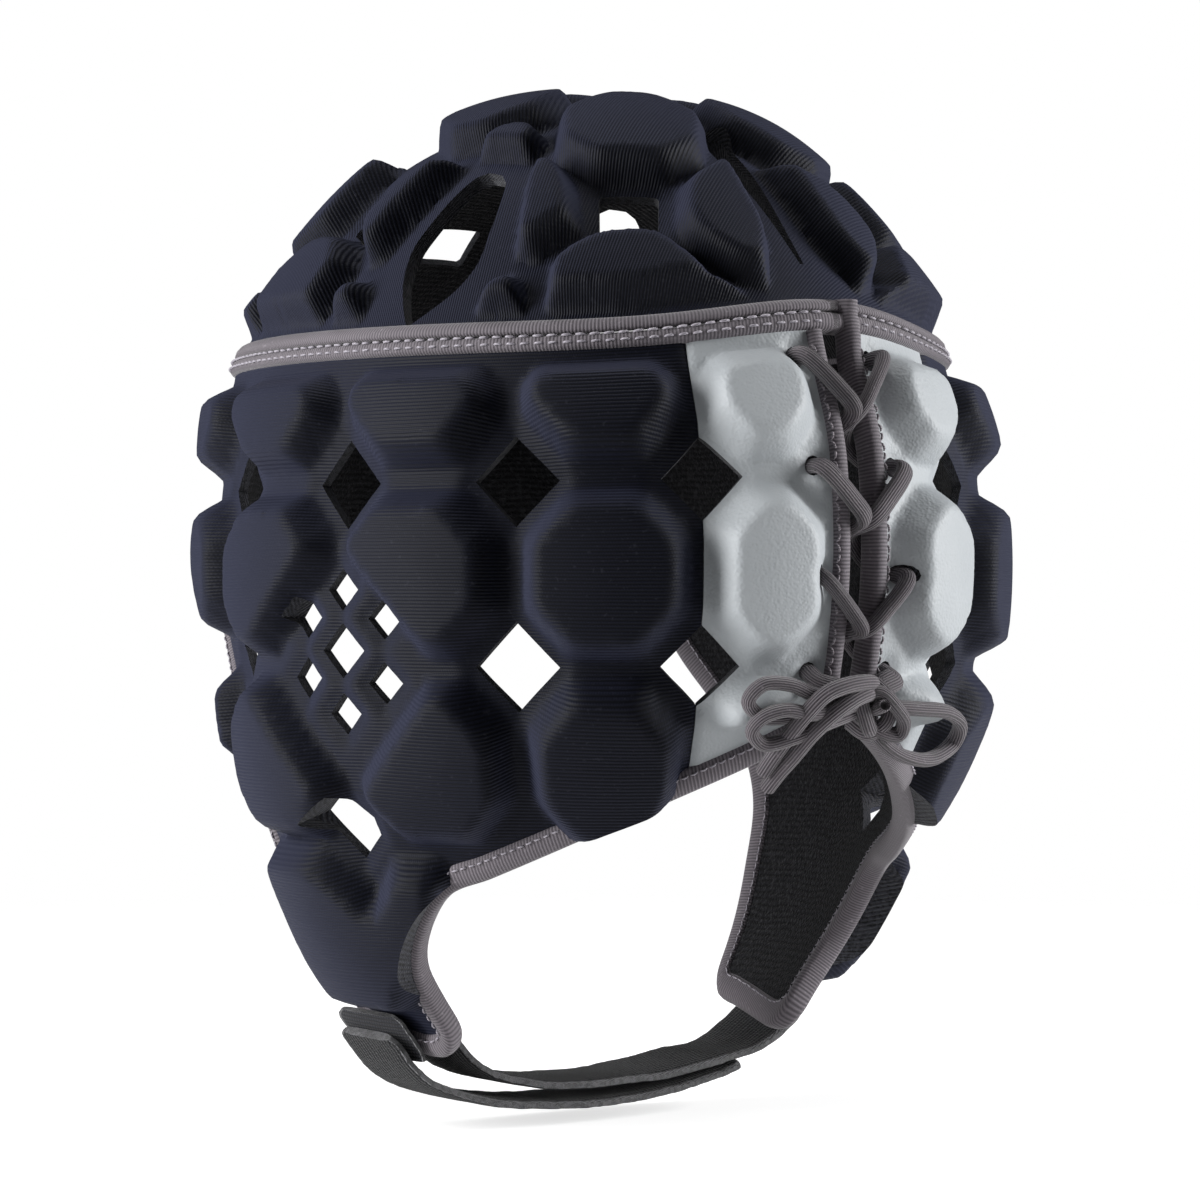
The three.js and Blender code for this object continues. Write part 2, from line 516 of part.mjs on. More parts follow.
// Lace: two strands that share the bar inside the top and cross in the slit, then the tied bow
const OVER = TAPE_OVER + GAP + LACE / 2, UNDER = -WALL - TAPE_OVER - GAP - LACE / 2 + 0.2;
function strand(sign) {
  const line = [[0, EYELETS[0] - 1, UNDER], [sign * 6, EYELETS[0] - 0.5, UNDER]];
  EYELETS.forEach((z, k) => {
    const s = sign * (k % 2 ? -1 : 1);
    line.push([s * EYELET_U, z, UNDER + 1], [s * EYELET_U, z, -1], [s * (EYELET_U - 0.5), z - 1, OVER + 0.2]);
    if (k === EYELETS.length - 1) return;
    line.push([s * 4.5, z - 7.5, OVER + 0.8], [s * 1.2, z - 11, OVER], [0, z - 12.8, -2.6],
      [-s * 3.2, z - 14.8, UNDER - 0.6]);
  });
  const s = -sign;
  line.push([s * 6, -75, OVER + 2], [0, -77, OVER + 2.5]);
  return cord(line.map((p) => side(...p)), LACE, 8, Math.round(line.length * 1.6));
}
const LOOPS = [
  [[0, -76, 6], [6, -75.6, 8.8], [15, -75, 9.8], [20.5, -73, 10], [26, -73, 9.8], [28.6, -76, 9.6], [25, -78.6, 9.6],
    [14, -77.8, 9.8], [5, -77, 8.8], [0, -77, 6]],
  [[0, -77, 6], [6, -77, 9.8], [16, -77.6, 12], [21.5, -76.8, 12.2], [26, -78, 11.8], [27.4, -80.5, 11.2],
    [24.5, -83, 11], [18.5, -81.8, 11.4], [12, -79.6, 11], [5, -78.4, 9], [0, -77.5, 6]],
  [[0, -79, 6], [-5, -77.6, 9.5], [-12, -77.6, 10.4], [-22, -78.2, 10.4], [-30.5, -81, 9.8], [-33, -85, 8.8],
    [-25, -88, 9.4], [-15, -87.6, 9.8], [-6.5, -85, 9.4], [0, -80.5, 7]],
  [[2.5, -77.4, 7.5], [3, -74.8, 10], [0.5, -74.4, 12], [-2.5, -76.2, 13.5], [-6.2, -79, 13], [-6.6, -81.6, 12],
    [-2.2, -81.4, 10.5], [2.5, -79.2, 8]],
];
const TAILS = [
  [[-0.5, -74.5, 7], [3, -72.6, 11], [9.5, -72.6, 13], [14, -74.2, 13.2], [17.5, -77.6, 12.6], [19.6, -82, 11],
    [21, -86.5, 9.6], [22, -90.5, 8.6]],
  [[-0.5, -76.5, 7], [3, -74.8, 11], [7.5, -75.4, 12.8], [11.5, -77.4, 13], [15, -81, 12.2], [17, -86, 10.6],
    [18.6, -90, 9.4], [20, -94, 8]],
];
function lace() {
  const knot = fromGeometry(new THREE.SphereGeometry(4.6, 10, 6).toNonIndexed().translate(...side(0.5, -77, 6)));
  const all = join([strand(1), strand(-1), knot, ...LOOPS.map((l) => cord(l.map((p) => side(...p)), LACE, 8, 14)),
    ...TAILS.map((l) => cord(l.map((p) => side(...p)), LACE, 8, 7))]);
  return largest(all).asOriginal().simplify(0.04);
}

// Chin strap: bands of one width, bent in the plane across the chin
const across = (u, z, off) => { const p = side(u, z, off); return [p[0], p[2]]; };
const chin = (share, z) => [share * SIDE_HALF_WIDTH, z - SEAT];
function band(line, width, thick, middle = STRAP_Y) {
  const points = [], faces = [];
  line.forEach((p, i) => {
    const a = line[Math.max(i - 1, 0)], b = line[Math.min(i + 1, line.length - 1)];
    const d = unit(sub(b, a));
    for (const [k, y] of [[1, 1], [1, -1], [-1, -1], [-1, 1]]) {
      points.push([p[0] - d[1] * k * thick / 2, middle + y * width / 2, p[1] + d[0] * k * thick / 2]);
    }
    if (!i) return;
    for (let k = 0; k < 4; k++) {
      faces.push(...quad((i - 1) * 4 + k, i * 4 + k, i * 4 + (k + 1) % 4, (i - 1) * 4 + (k + 1) % 4));
    }
  });
  const n = points.length;
  faces.push(...quad(0, 1, 2, 3), ...quad(n - 1, n - 2, n - 3, n - 4));
  return solid(points, faces);
}
const FLAP_MIDDLE = 152;
const innerStrap = () => band([across(FLAP_MIDDLE, -138, -9.4), across(FLAP_MIDDLE, -150, -10.4), chin(0.482, -161),
  chin(0.388, -167.2), chin(0.212, -171), chin(0, -172), chin(-0.212, -171.2), chin(-0.388, -169), chin(-0.529, -167),
  chin(-0.653, -161), chin(-0.729, -155)], STRAP_WIDTH, STRAP_THICK);
const outerStrap = () => band([chin(0.713, -156), chin(0.675, -160.2), chin(0.64, -164), chin(0.576, -168.6),
  chin(0.424, -173.3), chin(0.212, -176), chin(0, -176.6), chin(-0.212, -175.4), chin(-0.376, -173),
  chin(-0.482, -170.2)], STRAP_WIDTH, STRAP_THICK);
const anchor = () => band([chin(0.681, -155), chin(0.648, -158.4), chin(0.626, -161.3), chin(0.618, -162.9)],
  STRAP_WIDTH + 3, 1.6);

function toMesh(body, name, material) {
  const m = body.getMesh();
  const g = new THREE.BufferGeometry();
  const pos = new Float32Array(m.numVert * 3);
  for (let i = 0; i < m.numVert; i++) for (let k = 0; k < 3; k++) pos[i * 3 + k] = m.vertProperties[i * m.numProp + k];
  g.setAttribute('position', new THREE.BufferAttribute(pos, 3));
  g.setIndex(new THREE.BufferAttribute(new Uint32Array(m.triVerts), 1));
  g.computeVertexNormals();
  const mesh = new THREE.Mesh(g, new THREE.MeshStandardMaterial(material));
  mesh.name = name;
  return mesh;
}

const navy = { color: 0x15171f, roughness: 0.85 };
const grey = { color: 0xa4abac, roughness: 0.6 };
const mauve = { color: 0x5b565c, roughness: 0.9 };
const black = { color: 0x1c1c20, roughness: 0.95 };
const group = new THREE.Group();
const put = (name, body, material) => group.add(toMesh(body, name, { ...material }));

put('crown', crownPanel(), navy);
put('side_panel', sidePanel(), navy);
put('back_panel_left', backPanel(1), grey);
put('back_panel_right', backPanel(-1), grey);
put('crown_edge_tape', crownTape(), mauve);
put('side_edge_tape', sideTape(), mauve);
put('lace_edge_tape_left', laceTape(1), mauve);
put('lace_edge_tape_right', laceTape(-1), mauve);
put('edge_binding_left', binding(1), mauve);
put('edge_binding_right', binding(-1), mauve);
put('lace', lace(), mauve);
put('strap_anchor', anchor(), black);
put('chin_strap_outer', outerStrap(), black);
put('chin_strap_inner', innerStrap(), black);

export default group;
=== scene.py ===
import math
import bpy
import numpy as np
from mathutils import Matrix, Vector
from mathutils.geometry import delaunay_2d_cdt
from mathutils.kdtree import KDTree


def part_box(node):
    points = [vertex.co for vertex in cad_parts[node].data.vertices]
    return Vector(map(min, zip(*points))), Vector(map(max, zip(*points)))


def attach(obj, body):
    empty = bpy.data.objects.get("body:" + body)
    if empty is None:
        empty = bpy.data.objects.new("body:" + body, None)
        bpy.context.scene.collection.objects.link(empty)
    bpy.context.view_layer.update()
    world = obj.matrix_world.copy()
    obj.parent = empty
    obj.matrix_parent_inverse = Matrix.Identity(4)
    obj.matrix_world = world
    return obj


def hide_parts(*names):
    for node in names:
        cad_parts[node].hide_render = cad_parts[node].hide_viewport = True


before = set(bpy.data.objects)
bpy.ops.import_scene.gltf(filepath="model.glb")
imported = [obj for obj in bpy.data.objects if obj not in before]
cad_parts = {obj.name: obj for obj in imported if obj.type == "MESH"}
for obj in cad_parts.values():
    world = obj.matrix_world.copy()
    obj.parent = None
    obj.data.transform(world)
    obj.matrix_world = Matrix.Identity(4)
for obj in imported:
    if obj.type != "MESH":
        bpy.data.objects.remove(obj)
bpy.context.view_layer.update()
MM = 0.001

# Camera: level with the middle of the cap, behind the wearer's left shoulder, so that the lacing and the
# left side both show, with a long lens from about 0.9 m.
camera_azimuth = math.radians(145)
camera_distance = 900 * MM
frame_width = 287.1 * MM            # what the picture takes in at the middle of the cap
aim = Vector((-1.15, 0.8, -110.85)) * MM
back_of_lens = Vector((math.sin(camera_azimuth), -math.cos(camera_azimuth), 0))
camera = bpy.data.objects.new("camera", bpy.data.cameras.new("camera"))
camera.data.sensor_width = 36
camera.data.sensor_fit = "HORIZONTAL"
camera.data.lens = 36 * camera_distance / frame_width
camera.data.clip_start = 0.01
camera.location = aim + back_of_lens * camera_distance
camera.rotation_euler = (-back_of_lens).to_track_quat("-Z", "Y").to_euler()
bpy.context.scene.collection.objects.link(camera)
bpy.context.scene.camera = camera

# Head form: the side wall of the cap as the foam takes it, worn on a 57 cm head. A place on it is a length u
# along the wall from the back centre toward the wearer's left, and a height z under the crown seam, both in mm.
half_width, half_length = 85.0, 101.0
ring_share, ring_forward = 0.93, 4.0
back_lift = 6.0
wall_thick = 3.5
crown_rise, crown_lean = 57.4, 0.04
angles = np.array([0, 30, 60, 90, 120, 150, 180.0])
drops = np.array([0, 25, 50, 75, 90, 105, 120, 140, 160, 175.0])
shares = np.array([
    [0.93] * 7,
    [0.985] * 7,
    [1.0] * 7,
    [0.96, 0.97, 0.985, 1, 0.955, 0.95, 0.95],
    [0.9, 0.9, 0.94, 0.985, 0.93, 0.92, 0.92],
    [0.83, 0.82, 0.87, 0.95, 0.88, 0.86, 0.86],
    [0.78, 0.76, 0.79, 0.88, 0.82, 0.8, 0.8],
    [0.7, 0.69, 0.71, 0.77, 0.73, 0.71, 0.71],
    [0.57, 0.57, 0.58, 0.6, 0.6, 0.6, 0.6],
    [0.5, 0.5, 0.52, 0.54, 0.55, 0.55, 0.55]])


def flowing(xs, ys, x):
    """A smooth curve through ys at xs, read at x. ys may hold one column for each x."""
    xs, ys, x = np.asarray(xs, float), np.asarray(ys, float), np.asarray(x, float)
    i = np.clip(np.searchsorted(xs, x, side="left") - 1, 0, len(xs) - 2)
    slope = np.empty_like(ys)
    step = (lambda a: a) if ys.ndim == 1 else (lambda a: a[:, None])
    slope[1:-1] = (ys[2:] - ys[:-2]) / step(xs[2:] - xs[:-2])
    slope[0], slope[-1] = (ys[1] - ys[0]) / (xs[1] - xs[0]), (ys[-1] - ys[-2]) / (xs[-1] - xs[-2])
    h = xs[i + 1] - xs[i]
    f = np.clip((x - xs[i]) / h, 0, 1)
    pick = (lambda a, k: a[k]) if ys.ndim == 1 else (lambda a, k: a[k, np.arange(a.shape[1])])
    return ((2 * f ** 3 - 3 * f ** 2 + 1) * pick(ys, i) + (f ** 3 - 2 * f ** 2 + f) * h * pick(slope, i)
            + (3 * f ** 2 - 2 * f ** 3) * pick(ys, i + 1) + (f ** 3 - f ** 2) * h * pick(slope, i + 1))


around = np.arange(720)
arc = np.concatenate([[0], np.cumsum(np.hypot(
    half_width * np.cos(np.radians((around + 0.5) / 2)),
    half_length * np.sin(np.radians((around + 0.5) / 2))) * np.radians(0.5))])
whole_round = arc[-1]
front = whole_round / 2


def angle_at(u):
    return np.interp(np.mod(u, whole_round), arc, np.arange(721) / 2)


def length_at(angle):
    return np.interp(angle, np.arange(721) / 2, arc)


def lift_at(angle):
    return back_lift * np.exp(-((np.mod(angle + 180, 360) - 180) / 24) ** 2)


def wall_base(u, z):
    t = angle_at(u)
    a = np.abs(np.mod(t + 180, 360) - 180)
    share = flowing(drops, np.array([flowing(angles, row, a) for row in shares]), -z)
    top = np.clip(1 + z / 30, 0, 1)
    return np.stack([half_width * share * np.sin(np.radians(t)),
                     half_length * share * np.cos(np.radians(t)) - ring_forward * top ** 2 * (3 - 2 * top),
                     z + lift_at(t) * np.exp(z / 25)], -1)


def crown_height(x, y):
    ring_x, ring_y = half_width * ring_share, half_length * ring_share
    r = (x / ring_x) ** 2 + ((y + ring_forward) / ring_y) ** 2
    w = np.maximum(1 - r, 0)
    t = np.degrees(np.arctan2(x / ring_x, (y + ring_forward) / ring_y))
    return w ** 0.7 * (0.5 + 1.25 * w - 0.75 * w * w) * (crown_rise + crown_lean * y) + lift_at(t) * r * r


head_seat = float(crown_height(np.array(0.0), np.array(0.0))) - wall_thick


def unit(v):
    return v / np.maximum(np.linalg.norm(v, axis=-1, keepdims=True), 1e-9)


def wall(u, z, off=0.0):
    """Points in mm in the frame, off mm outside the thin foam."""
    u, z, off = np.broadcast_arrays(*(np.asarray(v, float).ravel() for v in (u, z, off)))
    p = wall_base(u, z)
    n = unit(np.cross(wall_base(u, z + 0.5) - wall_base(u, z - 0.5), wall_base(u + 1, z) - wall_base(u - 1, z)))
    p = p + n * off[:, None]
    p[:, 2] -= head_seat
    return p


# Lace: one tubular knit cord, about 3.5 mm thick, mauve grey, its ribs running lengthwise. It starts as a bar
# inside the top pair of eyelets, crosses in the slit three times and is tied in a bow at the foot of the slit.
lace_thick = 3.5
eyelet_heights = [-8, -29.5, -52, -73]
eyelet_out = 11.2
tape_proud = 1.1
lace_over = tape_proud + 0.3 + lace_thick / 2
lace_under = -wall_thick - tape_proud - 0.3 - lace_thick / 2 + 0.2


def flowing_path(points, spacing):
    """A centripetal Catmull-Rom curve through the points, resampled evenly."""
    p = np.asarray(points, float)
    p = np.vstack([2 * p[0] - p[1], p, 2 * p[-1] - p[-2]])
    out = []
    for a, b, c, d in zip(p[:-3], p[1:-2], p[2:-1], p[3:]):
        t1 = max(np.linalg.norm(b - a), 1e-6) ** 0.5
        t2 = t1 + max(np.linalg.norm(c - b), 1e-6) ** 0.5
        t3 = t2 + max(np.linalg.norm(d - c), 1e-6) ** 0.5
        for t in np.linspace(t1, t2, 24, endpoint=False):
            a1 = a * (t1 - t) / t1 + b * t / t1
            a2 = b * (t2 - t) / (t2 - t1) + c * (t - t1) / (t2 - t1)
            a3 = c * (t3 - t) / (t3 - t2) + d * (t - t2) / (t3 - t2)
            b1 = a1 * (t2 - t) / t2 + a2 * t / t2
            b2 = a2 * (t3 - t) / (t3 - t1) + a3 * (t - t1) / (t3 - t1)
            out.append(b1 * (t2 - t) / (t2 - t1) + b2 * (t - t1) / (t2 - t1))
    out.append(p[-2])
    return evenly(np.array(out), spacing)


def evenly(line, spacing):
    gaps = np.linalg.norm(np.diff(line, axis=0), axis=1)
    far = np.concatenate([[0], np.cumsum(gaps)])
    count = max(int(round(far[-1] / spacing)), 2)
    want = np.linspace(0, far[-1], count + 1)
    return np.stack([np.interp(want, far, line[:, k]) for k in range(line.shape[1])], -1)


def piece(name, points, faces, finishes, slots=None, flat=None, sharp=None):
    """A mesh object from points in mm. flat holds each point's place on the cloth laid flat, in mm."""
    mesh = bpy.data.meshes.new(name)
    mesh.from_pydata(np.asarray(points, float) * MM, [], faces)
    for finish in finishes:
        mesh.materials.append(finish)
    if slots is not None:
        mesh.polygons.foreach_set("material_index", np.asarray(slots, np.int32))
    if flat is not None:
        corner = np.empty(len(mesh.loops), np.int32)
        mesh.loops.foreach_get("vertex_index", corner)
        layer = mesh.uv_layers.new(name="flat")
        layer.data.foreach_set("uv", (np.asarray(flat, np.float32)[corner] / 100).ravel())
    mesh.polygons.foreach_set("use_smooth", np.ones(len(mesh.polygons), bool))
    if sharp:
        mesh.set_sharp_from_angle(angle=math.radians(sharp))
    mesh.update()
    made = bpy.data.objects.new(name, mesh)
    bpy.context.scene.collection.objects.link(made)
    return made


def tube(name, line, wide, thick, finish, sides=20, open_end=0.0, turn=0.0):
    """A soft round or flattened cord along a line. open_end is how deep its far end is hollow."""
    line = np.asarray(line, float)
    run = unit(np.gradient(line, axis=0))
    side_way = np.zeros_like(line)
    first = np.cross(run[0], [0.3, 0.5, 0.8])
    side_way[0] = first / np.linalg.norm(first)
    for i in range(1, len(line)):
        s = side_way[i - 1] - run[i] * np.dot(side_way[i - 1], run[i])
        side_way[i] = s / np.linalg.norm(s)
    up_way = np.cross(run, side_way)
    rings, flat = [], []
    far = np.concatenate([[0], np.cumsum(np.linalg.norm(np.diff(line, axis=0), axis=1))])
    angle = np.arange(sides) * 2 * np.pi / sides

    def ring(i, k, back=0.0):
        a = angle + turn
        rings.append(line[i] - run[i] * back + side_way[i] * (np.cos(a) * wide / 2 * k)[:, None]
                     + up_way[i] * (np.sin(a) * thick / 2 * k)[:, None])
        flat.append(np.stack([angle * wide / 2, np.full(sides, far[i] - back)], -1))
    ring(0, 0.55, -0.0)
    for i in range(len(line)):
        ring(i, 1.0)
    last = len(line) - 1
    if open_end:
        ring(last, 0.8, -0.35)
        ring(last, 0.6, 0.1)
        ring(last, 0.55, open_end)
    else:
        ring(last, 0.6, -0.3)
    n = len(rings)
    faces = [[r * sides + k, r * sides + (k + 1) % sides, (r + 1) * sides + (k + 1) % sides, (r + 1) * sides + k]
             for r in range(n - 1) for k in range(sides)]
    faces += [list(range(sides))[::-1], [(n - 1) * sides + k for k in range(sides)]]
    return piece(name, np.vstack(rings), faces, [finish], flat=np.vstack(flat), sharp=70)


def socket_group(name, inputs, outputs):
    """A node group with named sockets: inputs is name -> default, outputs is a list of (name, kind)."""
    group = bpy.data.node_groups.new(name, "ShaderNodeTree")
    for key, value in inputs.items():
        kind = "NodeSocketVector" if isinstance(value, tuple) else "NodeSocketFloat"
        socket = group.interface.new_socket(key, in_out="INPUT", socket_type=kind)
        socket.default_value = value
    for key, kind in outputs:
        group.interface.new_socket(key, in_out="OUTPUT", socket_type=kind)
    return group, group.nodes.new("NodeGroupInput"), group.nodes.new("NodeGroupOutput")


def link(tree, a, b):
    tree.links.new(a, b)


def sums(tree, operation, a, b=None, c=None, clamp=False):
    node = tree.nodes.new("ShaderNodeMath")
    node.operation = operation
    node.use_clamp = clamp
    for socket, value in zip(node.inputs, (a, b, c)):
        if value is None:
            continue
        if isinstance(value, (int, float)):
            socket.default_value = value
        else:
            link(tree, value, socket)
    return node.outputs[0]


def make_ribs():
    """Parallel ribs of knit or tape: Height from 0 to 1, and a mask that is 1 on the ribs' tops; the cloth uses it to
    paint a highlight on the ribs and shade between them.
    """
    group, given, out = socket_group("parallel ribs", {
        "Flat": (0.0, 0.0, 0.0), "Pitch mm": 0.85, "Turn": 0.0, "Waver": 0.2, "Stitch mm": 0.6, "Stitch share": 0.2},
        [("Height", "NodeSocketFloat"), ("Rib top", "NodeSocketFloat")])
    turn = group.nodes.new("ShaderNodeVectorRotate")
    turn.rotation_type = "Z_AXIS"
    link(group, given.outputs["Flat"], turn.inputs["Vector"])
    link(group, given.outputs["Turn"], turn.inputs["Angle"])
    apart = group.nodes.new("ShaderNodeSeparateXYZ")
    link(group, turn.outputs[0], apart.inputs[0])
    cloud = group.nodes.new("ShaderNodeTexNoise")
    cloud.inputs["Scale"].default_value = 9
    cloud.inputs["Detail"].default_value = 2
    link(group, turn.outputs[0], cloud.inputs["Vector"])
    shift = sums(group, "MULTIPLY", sums(group, "SUBTRACT", cloud.outputs["Fac"], 0.5), given.outputs["Waver"])
    across = sums(group, "DIVIDE", sums(group, "MULTIPLY", apart.outputs["Y"], 100), given.outputs["Pitch mm"])
    wave = sums(group, "SINE", sums(group, "MULTIPLY", sums(group, "ADD", across, shift), 2 * math.pi))
    rib = sums(group, "MULTIPLY_ADD", wave, 0.5, 0.5)
    along = sums(group, "DIVIDE", sums(group, "MULTIPLY", apart.outputs["X"], 100), given.outputs["Stitch mm"])
    stagger = sums(group, "MULTIPLY", sums(group, "FLOOR", sums(group, "ADD", across, shift)), 0.5)
    loop = sums(group, "SINE", sums(group, "MULTIPLY", sums(group, "ADD", along, stagger), 2 * math.pi))
    loops = sums(group, "MULTIPLY", sums(group, "MULTIPLY_ADD", loop, 0.5, 0.5), given.outputs["Stitch share"])
    high = sums(group, "MULTIPLY", rib, sums(group, "SUBTRACT", 1.0, loops))
    link(group, high, out.inputs["Height"])
    link(group, sums(group, "POWER", rib, 1.5), out.inputs["Rib top"])
    return group


ribs_group = make_ribs()


def make_wear():
    """Cloudy colour drift and a little lint over any cloth: Drift and Lint from 0 to 1."""
    group, given, out = socket_group("drift and lint", {
        "Place": (0.0, 0.0, 0.0), "Cloud scale": 22.0, "Lint scale": 900.0, "Lint share": 0.12},
        [("Drift", "NodeSocketFloat"), ("Lint", "NodeSocketFloat")])
    cloud = group.nodes.new("ShaderNodeTexNoise")
    cloud.inputs["Detail"].default_value = 4
    cloud.inputs["Roughness"].default_value = 0.55
    link(group, given.outputs["Place"], cloud.inputs["Vector"])
    link(group, given.outputs["Cloud scale"], cloud.inputs["Scale"])
    lint = group.nodes.new("ShaderNodeTexNoise")
    lint.inputs["Detail"].default_value = 1
    link(group, given.outputs["Place"], lint.inputs["Vector"])
    link(group, given.outputs["Lint scale"], lint.inputs["Scale"])
    edge = sums(group, "SUBTRACT", 1.0, given.outputs["Lint share"])
    speck = sums(group, "MULTIPLY", sums(group, "SUBTRACT", lint.outputs["Fac"], sums(group, "MULTIPLY", edge, 0.75)),
                 8.0, clamp=True)
    link(group, cloud.outputs["Fac"], out.inputs["Drift"])
    link(group, speck, out.inputs["Lint"])
    return group


wear_group = make_wear()


def blended(tree, share, low, high):
    mix = tree.nodes.new("ShaderNodeMix")
    mix.data_type = "RGBA"
    for socket, value in ((mix.inputs[0], share), (mix.inputs[6], low), (mix.inputs[7], high)):
        if isinstance(value, tuple):
            socket.default_value = (*value, 1)
        else:
            link(tree, value, socket)
    return mix.outputs[2]


def cloth_finish(name, dark, light, pitch, turn, depth, roughness, sheen, waver=0.2, stitch=0.6, stitch_share=0.25,
                 grain=0.0, lint=0.12, painted_sheen=None, shine=0.3):
    """Ribbed cloth: painted shade between the ribs and a painted highlight on them, drifting a little over the surface.
    Its slant colour is a painted sheen, a paler colour laid on where the surface is seen at a slant."""
    finish = bpy.data.materials.new(name)
    finish.use_nodes = True
    tree = finish.node_tree
    shader = tree.nodes["Principled BSDF"]
    flat = tree.nodes.new("ShaderNodeUVMap")
    flat.uv_map = "flat"
    ribs = tree.nodes.new("ShaderNodeGroup")
    ribs.node_tree = ribs_group
    link(tree, flat.outputs[0], ribs.inputs["Flat"])
    for key, value in (("Pitch mm", pitch), ("Turn", turn), ("Waver", waver), ("Stitch mm", stitch),
                       ("Stitch share", stitch_share)):
        ribs.inputs[key].default_value = value
    spot = tree.nodes.new("ShaderNodeTexCoord")
    wear = tree.nodes.new("ShaderNodeGroup")
    wear.node_tree = wear_group
    wear.inputs["Lint share"].default_value = lint
    link(tree, spot.outputs["Object"], wear.inputs["Place"])
    # Painted shade and painted highlight: the base colour runs from dark in the grooves between the ribs to light on
    # the rib tops.
    colour = blended(tree, ribs.outputs["Rib top"], dark, light)
    drift = blended(tree, wear.outputs["Drift"], tuple(c * 0.72 for c in light), tuple(c * 1.3 for c in light))
    colour = blended(tree, sums(tree, "MULTIPLY", ribs.outputs["Rib top"], 0.6), colour, drift)
    colour = blended(tree, sums(tree, "MULTIPLY", wear.outputs["Lint"], 0.25), colour, tuple(c * 2.2 + 0.03 for c in light))
    link(tree, sums(tree, "MULTIPLY_ADD", wear.outputs["Drift"], 0.16, roughness - 0.08), shader.inputs["Roughness"])
    shader.inputs["Sheen Weight"].default_value = sheen
    shader.inputs["Sheen Roughness"].default_value = 0.45
    shader.inputs["Specular IOR Level"].default_value = shine
    fuzz = tree.nodes.new("ShaderNodeTexNoise")
    fuzz.inputs["Scale"].default_value = 1700
    fuzz.inputs["Detail"].default_value = 2
    link(tree, spot.outputs["Object"], fuzz.inputs["Vector"])
    height = sums(tree, "MULTIPLY_ADD", fuzz.outputs["Fac"], grain, ribs.outputs["Height"])
    bump = tree.nodes.new("ShaderNodeBump")
    bump.inputs["Distance"].default_value = depth * MM
    bump.inputs["Strength"].default_value = 1.0
    link(tree, height, bump.inputs["Height"])
    link(tree, bump.outputs[0], shader.inputs["Normal"])
    # Painted sheen: the base colour is mixed toward a paler colour where the surface is seen at a slant.
    if painted_sheen:
        slant = tree.nodes.new("ShaderNodeLayerWeight")
        slant.inputs["Blend"].default_value = 0.5
        link(tree, bump.outputs[0], slant.inputs["Normal"])
        pale = tree.nodes.new("ShaderNodeMapRange")
        pale.interpolation_type = "SMOOTHSTEP"
        for key, value in (("From Min", 0.1), ("From Max", 0.8)):
            pale.inputs[key].default_value = value
        link(tree, slant.outputs["Facing"], pale.inputs["Value"])
        colour = blended(tree, pale.outputs["Result"], colour, painted_sheen)
    link(tree, colour, shader.inputs["Base Color"])
    return finish


lace_knit = cloth_finish("lace knit", (0.045, 0.039, 0.046), (0.175, 0.155, 0.172), 0.62, math.radians(90), 0.22,
                         0.75, 0.25, waver=0.15, stitch=0.9, stitch_share=0.15, grain=0.25)


def lace_strand(side_sign):
    line = [(0, eyelet_heights[0] - 1, lace_under), (side_sign * 6, eyelet_heights[0] - 0.5, lace_under)]
    for k, z in enumerate(eyelet_heights):
        s = side_sign * (-1 if k % 2 else 1)
        line += [(s * eyelet_out, z, lace_under + 1), (s * eyelet_out, z, -1), (s * (eyelet_out - 0.5), z - 1, lace_over + 0.2)]
        if k < len(eyelet_heights) - 1:
            line += [(s * 4.5, z - 7.5, lace_over + 0.8), (s * 1.2, z - 11, lace_over), (0, z - 12.8, -2.6),
                     (-s * 3.2, z - 14.8, lace_under - 0.6)]
    s = -side_sign
    return line + [(s * 6, -75, lace_over + 2), (0, -77, lace_over + 2.5)]


bow_loops = [
    [(0, -76, 6), (6, -75.6, 8.8), (15, -75, 9.8), (20.5, -73, 10), (26, -73, 9.8), (28.6, -76, 9.6), (25, -78.6, 9.6),
     (14, -77.8, 9.8), (5, -77, 8.8), (0, -77, 6)],
    [(0, -77, 6), (6, -77, 9.8), (16, -77.6, 12), (21.5, -76.8, 12.2), (26, -78, 11.8), (27.4, -80.5, 11.2),
     (24.5, -83, 11), (18.5, -81.8, 11.4), (12, -79.6, 11), (5, -78.4, 9), (0, -77.5, 6)],
    [(0, -79, 6), (-5, -77.6, 9.5), (-12, -77.6, 10.4), (-22, -78.2, 10.4), (-30.5, -81, 9.8), (-33, -85, 8.8),
     (-25, -88, 9.4), (-15, -87.6, 9.8), (-6.5, -85, 9.4), (0, -80.5, 7)],
    [(2.5, -77.4, 7.5), (3, -74.8, 10), (0.5, -74.4, 12), (-2.5, -76.2, 13.5), (-6.2, -79, 13), (-6.6, -81.6, 12),
     (-2.2, -81.4, 10.5), (2.5, -79.2, 8)]]
bow_tails = [
    [(-0.5, -74.5, 7), (3, -72.6, 11), (9.5, -72.6, 13), (14, -74.2, 13.2), (17.5, -77.6, 12.6), (19.6, -82, 11),
     (21, -86.5, 9.6), (22, -90.5, 8.6)],
    [(-0.5, -76.5, 7), (3, -74.8, 11), (7.5, -75.4, 12.8), (11.5, -77.4, 13), (15, -81, 12.2), (17, -86, 10.6),
     (18.6, -90, 9.4), (20, -94, 8)]]
knot_turns = [
    [(3, -73.6, 6), (4, -76.6, 10.5), (1.6, -80.5, 11.4), (-2, -82, 8.6), (-3.5, -80, 5), (-1, -75.4, 4.2)],
    [(-3, -74, 5), (-4.4, -76.4, 9.5), (-3.2, -80, 11), (0, -82.4, 9.6), (2.5, -81.5, 6)]]
knot_nubs = [
    [(0.5, -78.4, 8.5), (0.8, -77, 12), (1.2, -76, 14.4)],
    [(-3.4, -76, 3), (-6.4, -74, 3.4), (-9.2, -73.2, 3)]]


def on_wall(route):
    return wall(*np.array(route, float).T)


